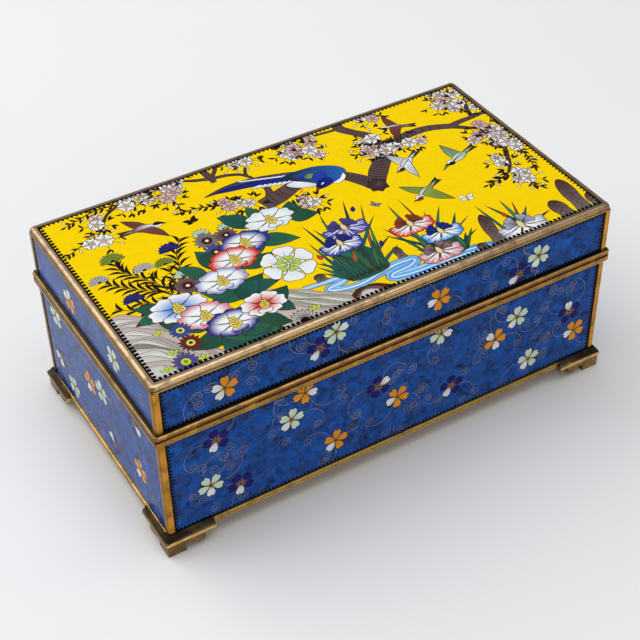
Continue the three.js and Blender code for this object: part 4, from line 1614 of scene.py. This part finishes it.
def draw_ferns(art):
    """Ferny stems at the left with domed flower heads."""
    fern(art, ((26.4, 66), (25.6, 55), (21.4, 47), (17.6, 41), (17, 35)), 10, 8.2)
    fern(art, ((27.4, 60), (26.4, 52), (24.4, 45.6)), 2, 6.0)
    fern(art, ((28.4, 62), (30.4, 53), (31.6, 46)), 3, 6.4)
    fern(art, ((29.4, 60), (34.4, 50), (37.4, 41), (42.4, 34)), 8, 7.4)
    fern(art, ((25.4, 58), (17, 51), (9.6, 43.4)), 7, 7.6)
    fern(art, ((25.4, 66), (19, 61), (14.6, 58)), 4, 7.0)
    fern(art, ((19, 65), (12, 61), (7, 57)), 3, 6.4)
    for x, y, width, tint in (
        (17.2, 33.6, 9.4, OLIVE), (8.6, 41.8, 7.6, STONE), (24.2, 43.6, 8, hue("D8D4D0")),
        (31.6, 44.4, 7.6, OLIVE), (36.4, 38.4, 8.6, NAVY), (14.4, 56.4, 8, NAVY),
    ):
        mum(art, at(x, y), width, tint)


def beside(line, shift):
    """The points of a line moved sideways."""
    last = len(line) - 1
    moved = []
    for k, point in enumerate(line):
        along = (line[min(k + 1, last)] - line[max(k - 1, 0)]).normalized()
        moved.append(point + Vector((-along.y, along.x)) * shift)
    return moved


def draw_stream(art):
    """A winding stream with rocky banks."""
    course = path(
        (64, 80.6), (72, 81.4), (79.4, 82), (77.6, 84), (71.4, 85), (74, 87.2), (82, 88.4), (90, 86.8), (98, 85.8),
        (104, 86.6), (101, 88.8), (94, 89.4), (93, 91.2), (100, 92.6), (112, 93), (124, 94), (132, 96.4),
    )
    art.band(course, (2.0, 2.8, 3.2, 3.2, 4.0, 4.2, 4.4, 5.6, 7.4), drift(at(64, 80), at(125, 95), hue("A8D4F2"), hue("4F9FE2")))
    for shift, tint in ((-0.8, hue("3C86D2")), (0.0, WHITE), (0.8, hue("5FAEE8"))):
        art.line(beside(course, shift), (0.15, 0.35, 0.45, 0.4, 0.4, 0.5), tint)
    for shift in (-1.6, 1.7):
        art.line(beside(course, shift)[62:], (0.1, 0.5, 0.4), WHITE)
    olive, pale, rose = hue("AAAE98"), hue("DCDAD4"), hue("C8B6AF")
    mound = ((41, 78), (49, 75), (57, 75.6), (64, 81), (72, 87), (80, 92), (92, 97.4))
    strata(art, mound, (0, 1.9, 3.5, 5.2, 6.8, 8.6, 10.4), (rose, olive, pale, olive, STONE, olive, rose))
    strata(art, ((76, 92.4), (80, 89.4), (85, 90.4), (90, 93.6), (98, 97)), (0, 1.5, 2.8), (UMBER, hue("7C5A56"), STONE))
    bank = ((-1, 61), (6, 60.6), (11, 63), (16, 68), (20, 75), (23.6, 84), (27, 92), (33, 99))
    strata(art, bank, (0, 1.9, 3.6, 5.2, 7.0), (rose, pale, rose, STONE, rose))
    ledge = ((-1, 70), (5, 69.6), (10, 72), (14.6, 78), (18, 86), (21, 93), (26, 99))
    drops = (0, 1.8, 3.4, 5.2, 7.0, 9.0, 11.2, 13.6, 16, 19)
    strata(art, ledge, drops, (pale, STONE, rose, pale, STONE_DARK, STONE, pale, STONE, rose, STONE))
    rocks = (
        (72, 80.4, 4, 4.4, 0), (101.4, 84, 6.4, 3.6, 0.3), (134, 96, 18, 5.4, 3), (164, 96, 11.5, 6.8, -1.2),
        (170.6, 96, 20.6, 6.6, 2.2), (177, 96, 9, 6, 0.6), (127.6, 95.6, 4.4, 4.2, 0),
    )
    for x, y, height, width, lean in rocks:
        pillar(art, (x, y), height, width, lean)


def iris_clump(art, base, half_width, thick, tips, rng):
    """Sword leaves from a narrow base to the named tips, and a thicket of shorter ones in front of them."""
    x, y = base
    tints = (TEAL, PINE, GRASS, RUSSET, hue("2F7A70"), PINE, hue("B5642E"), TEAL)
    mass = ((-1, 0), (-1.2, 0.5), (-0.8, 0.9), (0, 1), (0.9, 0.85), (1.2, 0.45), (1, 0))
    art.lay(loop([at(x + half_width * across, y - thick * up) for across, up in mass]), mix(PINE, TEAL, 0.5), ENAMEL)
    for k, tip in enumerate(tips):
        root = x + half_width * (2 * ((k * 5) % len(tips)) / len(tips) - 1)
        sword_leaf(art, (root, y), tip, 1.1 + 0.3 * (k % 3), tints[k % len(tints)])
    for k in range(2 * thick):
        root = x + half_width * rng.uniform(-1, 1)
        tip = (root + rng.gauss(0, 0.35 * half_width) + 0.35 * (root - x), y - thick * rng.uniform(0.45, 1.1))
        sword_leaf(art, (root, y), tip, rng.uniform(0.8, 1.4), mix(PINE, (TEAL, GRASS)[k % 2], rng.uniform(0, 0.9)))


def draw_irises(art):
    """Three clumps of irises beside the water."""
    rng = random.Random(5)
    tall = (
        (78, 60), (81, 50), (83.4, 54), (88, 50.6), (90, 47), (101.4, 44.6), (105.6, 50), (106.4, 58), (74.6, 71),
        (80, 64), (101.6, 62), (104.6, 71), (86, 58), (91, 56), (97, 60), (75, 76), (104, 77),
    )
    iris_clump(art, (87.4, 86), 7.0, 17, tall, rng)
    middle = ((104, 66), (102, 70), (113, 55.4), (118, 54.6), (128.6, 65.6), (131, 72), (134, 76), (108, 70), (122, 66), (132, 84))
    iris_clump(art, (117, 91.6), 6.0, 12, middle, rng)
    iris_clump(art, (145, 96), 5.0, 6, ((138.6, 72.6), (141.6, 74), (148, 74.6), (151.4, 77.4), (154.4, 82), (160, 88.6)), rng)
    buds = (
        ((100.6, 53), 60, NAVY), ((77.6, 70.6), 95, SCARLET), ((98.8, 75), 70, NAVY),
        ((144.2, 84), 85, SCARLET), ((149.6, 88), 70, NAVY),
    )
    for place, bearing, tint in buds:
        iris_bud(art, place, bearing, tint)
    iris_flower(art, (93.2, 59.2), 8.6, hue("4A4494"), hue("5650A4"), hue("8A86CC"))
    iris_flower(art, (87.4, 66), 8.2, NAVY, ROYAL, hue("E4ECF8"))
    iris_flower(art, (113.8, 69.6), 8.6, RUSSET, SCARLET, hue("F6EAE6"))
    iris_flower(art, (120.4, 78.6), 8.0, NAVY, AZURE, hue("F0F6FA"))
    iris_flower(art, (113.8, 87.4), 8.4, hue("8A6E72"), hue("C88A92"), hue("EBC4C6"))
    iris_flower(art, (146, 90.4), 9.6, hue("A6A8BC"), hue("B4B6C8"), WHITE)


def draw_garden(art):
    """Camellias, daisies and dark leaves at the left front."""
    grey, plum, cream_eye = hue("8D8389"), hue("4C2024"), CREAM
    for x, y in ((49.4, 36.4), (58.4, 37.6), (33.6, 53.4)):
        for k in range(7):
            bearing = 15 + 25 * k
            art.cell(leaf(at(x, y), polar(at(x, y), bearing, 3.6), 1.3), hue("BFE0CC"), 0.16)
    daisy(art, at(49.4, 40.4), 5.0, grey, (plum, cream_eye))
    daisy(art, at(56.6, 41), 4.4, hue("7C5F63"), (plum, cream_eye))
    daisy(art, at(49.2, 47.6), 4.8, hue("4A5CA8"), (plum, cream_eye))
    daisy(art, at(32.8, 58.6), 5.2, hue("7A6267"), (plum, cream_eye))
    leaves = (
        ((66, 42), (58.4, 30.6), 8.0, -1.2), ((73, 42), (70, 30.4), 6.0, 0.8), ((80, 40), (90.4, 46.6), 8.0, -1.6), ((84, 42), (84.6, 35.4), 6.0, 1.0),
        ((62, 50), (77.6, 56), 7.6, 1.0), ((60, 46), (72, 45), 6.0, -0.6), ((44, 56), (43, 43.6), 7.0, -1.4), ((40, 60), (33.6, 48), 6.0, -1.0), ((50, 52), (42.6, 47), 5.4, 0.6),
        ((24, 66), (12, 60), 6.4, 1.0), ((26, 68), (9, 68.6), 7.0, -1.0), ((40, 72), (57, 66), 9.0, -1.4), ((44, 72), (60.4, 72), 7.0, 1.0), ((36, 70), (50, 73), 8.0, 1.0),
        ((34, 84), (19, 88), 8.0, 1.4), ((36, 88), (28, 94), 8.0, 0.6), ((38, 88), (42, 96), 8.0, -0.8), ((44, 84), (53, 92.6), 8.0, -0.8), ((30, 78), (21, 79), 6.0, 0.6),
        ((46, 70), (34, 62), 8.0, 0.8), ((52, 60), (66, 58), 7.0, -0.6), ((44, 74), (54, 68), 8.0, 0.4), ((30, 90), (50, 94), 8.0, 0.4),
        ((24, 76), (16, 70), 6.0, 0.6), ((66, 46), (56, 58), 7.0, 0.6), ((46, 92), (30, 88), 9.0, -0.6),
        ((50, 80), (60.6, 76), 7.0, -1.0), ((52, 82), (57, 88), 5.6, 0.8), ((36, 90), (46.6, 90.6), 6.0, 0.8),
    )
    for k, (base, tip, width, bend) in enumerate(leaves):
        broad_leaf(art, base, tip, width, bend, (PINE, hue("25564C"), hue("2C5F45"))[k % 3], (hue("24605A"), hue("2E6B4E"), PINE)[k % 3])
    camellia(art, at(73.6, 41.4), 9.2, 8, hue("DDEAEC"), WHITE)
    camellia(art, at(59.6, 48.4), 9.2, -6, hue("2C2E94"), WHITE, 0.48)
    camellia(art, at(52.4, 54.6), 9.2, 4, SCARLET, WHITE, 0.52)
    camellia(art, at(43.4, 62.6), 9.2, -4, hue("A9A4D6"), WHITE, 0.7)
    camellia(art, at(24.6, 67.6), 10.0, 6, WHITE, hue("2F86E0"), 0.2)
    camellia(art, at(30.4, 75.4), 9.2, -3, hue("E08FA4"), WHITE, 0.6)
    camellia(art, at(36.8, 83.4), 9.6, 5, hue("2F2C8A"), WHITE, 0.5)
    camellia(art, at(49.4, 80.2), 7.8, -12, WHITE, SCARLET, 0.3, 0.8)
    open_bloom(art, at(66.8, 66.2), 9.6)
    daisy(art, at(20.4, 77.6), 4.0, hue("4458A8"), (hue("DCD86A"), PINE))
    daisy(art, at(20.6, 84.6), 4.2, hue("7A2E26"), (hue("DCD86A"), plum))
    daisy(art, at(15.2, 91.8), 4.6, hue("5A5AA4"), (LIME, OLIVE))
    for place in ((14, 76), (13.6, 86.6), (8.6, 93), (21, 93.6), (62.8, 91.4)):
        for bearing in (30, 90, 150):
            art.cell(leaf(at(*place), polar(at(*place), bearing, 2.6), 1.2), LIME, 0.16)
    for k in range(9):
        bearing = 10 + 20 * k
        art.cell(leaf(at(57, 94), polar(at(57, 94), bearing, 5.2), 1.9), fade(at(57, 94), 5.2, hue("6F6568"), hue("D4CFCC")), 0.2)
    art.cell(disc(at(57, 94.4), 1.5), BLACK, 0.2)


# Motifs of the blue sides


class BOX_OT_top_panel(bpy.types.Operator):
    """Makes the yellow top panel with its birds and flowers"""

    bl_idname = "enamel_box.top_panel"
    bl_label = "Top Panel"

    def execute(self, context):
        enamel = context.scene.box_enamel
        cells = shared("cell_enamel", cell_enamel)
        # The top's wires get a dark bronze where the sides' wires are gilt: patina together with painted shade.
        wire = shared("dark_wire", wire_metal, "dark_wire", (0.10, 0.065, 0.035), (0.035, 0.024, 0.018))
        counter = shared("blue_ground", blue_ground, enamel)
        art = draw_lid_picture(enamel)
        make_panel("lid_top_enamel", "lid_top_panel", art, Vector((1, 0, 0)), Vector((0, 1, 0)), [cells, cells, wire, counter])
        return {"FINISHED"}


SIDE_AXES = {"front": (1, 0, 0), "right": (0, 1, 0), "back": (-1, 0, 0), "left": (0, -1, 0)}


HALF_HEART = ((0.12, 0), (0.3, 0.17), (0.5, 0.29), (0.7, 0.335), (0.88, 0.27), (0.99, 0.13))


def heart_petal(place, degrees, radius):
    """A petal with two round lobes and a notch between them."""
    marks = [(along, -side) for along, side in HALF_HEART] + [(0.9, 0)] + list(HALF_HEART[:0:-1])
    return loop([polar(polar(place, degrees, along * radius), degrees + 90, side * radius) for along, side in marks], 3)


def side_blossom(art, place, radius, tint, pale, heart, turn):
    """A five-petalled flower of the sides with one or two pale petals and golden stamens."""
    for k in range(5):
        paint = fade(place, radius, mix(tint, heart, 0.6), tint, 0.6)
        if k in pale:
            paint = fade(place, radius, mix(PEARL, heart, 0.35), PEARL, 0.6)
        art.cell(heart_petal(place, turn + 72 * k, radius), paint, 0.22, ENAMEL)
    for k in range(10):
        reach = 0.48 if k % 2 else 0.36
        ends = polar(place, turn + 36 * k, 0.08 * radius), polar(place, turn + 36 * k, reach * radius)
        art.line(ends, (0.24, 0.2), hue("C39A45"))
    art.lay(disc(place, 0.12 * radius, 8), hue("5A3F14"), ENAMEL)


def vine(art, start, bearing, hand, radius, sweep, width):
    """A wire that leaves a flower in a wide arc and ends in a small spiral."""
    line = [start]
    turned = 0
    while turned < sweep + 600:
        share = max(0.0, (turned - sweep) / 600)
        bend = radius if turned < sweep else 2.0 - 1.6 * share**0.8
        step = 9 if turned < sweep else 20
        bearing += hand * step
        line.append(polar(line[-1], bearing, bend * math.radians(step)))
        turned += step
    art.wire(line, width)


def vines(art, flowers, width, rng):
    """Two or three vines from every flower, and small loose spirals between them."""
    for place in flowers:
        first = rng.uniform(0, 360)
        for k in range(rng.choice((2, 2, 3))):
            bearing = first + 125 * k + rng.uniform(-20, 20)
            hand = rng.choice((-1, 1))
            vine(art, polar(place, bearing, 3.6), bearing - hand * 30, hand, rng.uniform(4.6, 7.4), rng.uniform(80, 170), width)
    for _ in range(int(art.half.x * art.half.y / 50)):
        start = Vector((rng.uniform(-0.9, 0.9) * art.half.x, rng.uniform(-0.8, 0.8) * art.half.y))
        vine(art, start, rng.uniform(0, 360), rng.choice((-1, 1)), rng.uniform(2.6, 4.0), rng.uniform(30, 90), width)


PEARL = hue("F1F1EF")
# Colours of the petals and of their inner ends
MINT = (hue("D3E6D2"), hue("B9CFA4"))
TANGERINE = (hue("EE9A2C"), hue("C97B22"))
INDIGO = (hue("120C62"), hue("453E9C"))

# Flowers of each panel: millimetres from the panel's lower left corner, the colours,
# the bearing of the first petal and which petals are pale
SIDE_FLOWERS = {
    "base_front": (
        (18.1, 34.6, INDIGO, 248, (0,)), (51.7, 39.2, TANGERINE, 341, (0,)), (46.1, 29.5, MINT, 223, (0,)),
        (14.7, 15.3, MINT, 267, (0,)), (25.8, 10.0, INDIGO, 260, (0,)), (63.2, 10.7, TANGERINE, 225, (0,)),
        (80.8, 27.5, INDIGO, 30, (0,)), (88.6, 18.7, TANGERINE, 196, (0,)), (106.2, 40.0, MINT, 340, (0,)),
        (130.1, 26.0, TANGERINE, 136, (0, 2)), (139.3, 32.4, MINT, 234, (0,)), (111.7, 12.5, INDIGO, 236, (0,)),
        (146.4, 9.0, MINT, 236, (0,)), (163.7, 24.1, INDIGO, 99, (0,)), (167.1, 13.6, TANGERINE, 191, (0,)),
    ),
    "lid_front": (
        (22.6, 8.2, TANGERINE, 160, (0, 1)), (57.7, 8.2, INDIGO, 232, (0,)), (64.0, 12.5, MINT, 20, (0,)),
        (104.7, 8.5, TANGERINE, 190, (0,)), (146.6, 9.6, MINT, 250, (0,)), (138.5, 4.7, INDIGO, 215, (0,)),
    ),
    "base_left": (
        (11.2, 36.2, MINT, 30, (0,)), (37.8, 24.8, TANGERINE, 250, (0,)), (48.2, 28.6, MINT, 100, (0,)),
        (76.2, 36.4, INDIGO, 340, (0,)), (76.4, 14.9, TANGERINE, 234, (0,)), (9.5, 15.5, INDIGO, 200, (0, 1)),
        (19.4, 8.3, MINT, 220, (0,)), (54.2, 8.5, INDIGO, 130, (0,)),
    ),
    "lid_left": ((29.7, 8.4, TANGERINE, 90, (0, 1)), (65.0, 9.0, MINT, 210, (0,))),
}


def panel_flowers(part, side, half):
    """Places of a panel's flowers; the unseen sides repeat the seen ones turned end over end."""
    seen = {"back": "front", "right": "left"}.get(side, side)
    for x, y, tints, turn, pale in SIDE_FLOWERS[f"{part}_{seen}"]:
        place = Vector((x, y)) - half
        yield (place, tints, turn, pale) if seen == side else (-place, tints, turn + 180, pale)


class BOX_OT_side_panels(bpy.types.Operator):
    """Makes the eight blue wall panels with their scattered flowers and scrolls"""

    bl_idname = "enamel_box.side_panels"
    bl_label = "Side Panels"

    def execute(self, context):
        enamel = context.scene.box_enamel
        ground = shared("blue_ground", blue_ground, enamel)
        wire = shared("gilt_wire", wire_metal, "gilt_wire", (0.38, 0.31, 0.19), (0.17, 0.15, 0.12))
        materials = [ground, shared("cell_enamel", cell_enamel), wire, ground]
        rng = random.Random(11)
        for part in ("base", "lid"):
            for side in SIDES:
                across = Vector(SIDE_AXES[side])
                node = f"{part}_{side}_panel"
                size = (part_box(node)[1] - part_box(node)[0]) / MM
                art = Inlay(abs(size.dot(across)), size.z, BLACK, 0.2)
                flowers = list(panel_flowers(part, side, art.half))
                vines(art, [flower[0] for flower in flowers], enamel.scroll_width / MM, rng)
                for place, (tint, heart), turn, pale in flowers:
                    side_blossom(art, place, 5.0, tint, pale, heart, turn)
                add_border(art, 0.8, 0.52, 1.55)
                make_panel(f"{part}_{side}_enamel", node, art, across, Vector((0, 0, 1)), materials)
        return {"FINISHED"}


class BOX_PT_sidebar(bpy.types.Panel):
    """Lists the box's pieces in the sidebar"""

    bl_label = "Cloisonne Enamel Box"
    bl_idname = "BOX_PT_sidebar"
    bl_space_type = "VIEW_3D"
    bl_region_type = "UI"
    bl_category = "Enamel Box"

    def draw(self, context):
        for operator in OPERATORS:
            self.layout.operator(operator.bl_idname)
        for settings in (context.scene.box_mounts, context.scene.box_enamel, context.scene.box_stage):
            box = self.layout.box()
            for name in settings.__annotations__:
                box.prop(settings, name)


OPERATORS = (
    BOX_OT_stage,
    BOX_OT_floor_plate,
    BOX_OT_corner_posts,
    BOX_OT_rims,
    BOX_OT_top_frame,
    BOX_OT_feet,
    BOX_OT_side_panels,
    BOX_OT_top_panel,
)
CLASSES = (MountSettings, EnamelSettings, StageSettings, *OPERATORS, BOX_PT_sidebar)


def register():
    for cls in CLASSES:
        bpy.utils.register_class(cls)
    bpy.types.Scene.box_mounts = bpy.props.PointerProperty(type=MountSettings)
    bpy.types.Scene.box_enamel = bpy.props.PointerProperty(type=EnamelSettings)
    bpy.types.Scene.box_stage = bpy.props.PointerProperty(type=StageSettings)


def unregister():
    del bpy.types.Scene.box_mounts
    del bpy.types.Scene.box_enamel
    del bpy.types.Scene.box_stage
    for cls in reversed(CLASSES):
        bpy.utils.unregister_class(cls)


def main():
    register()
    bpy.ops.enamel_box.stage()
    bpy.ops.enamel_box.floor_plate()
    bpy.ops.enamel_box.corner_posts()
    bpy.ops.enamel_box.rims()
    bpy.ops.enamel_box.top_frame()
    bpy.ops.enamel_box.feet()
    bpy.ops.enamel_box.side_panels()
    bpy.ops.enamel_box.top_panel()


if __name__ == "__main__":
    main()
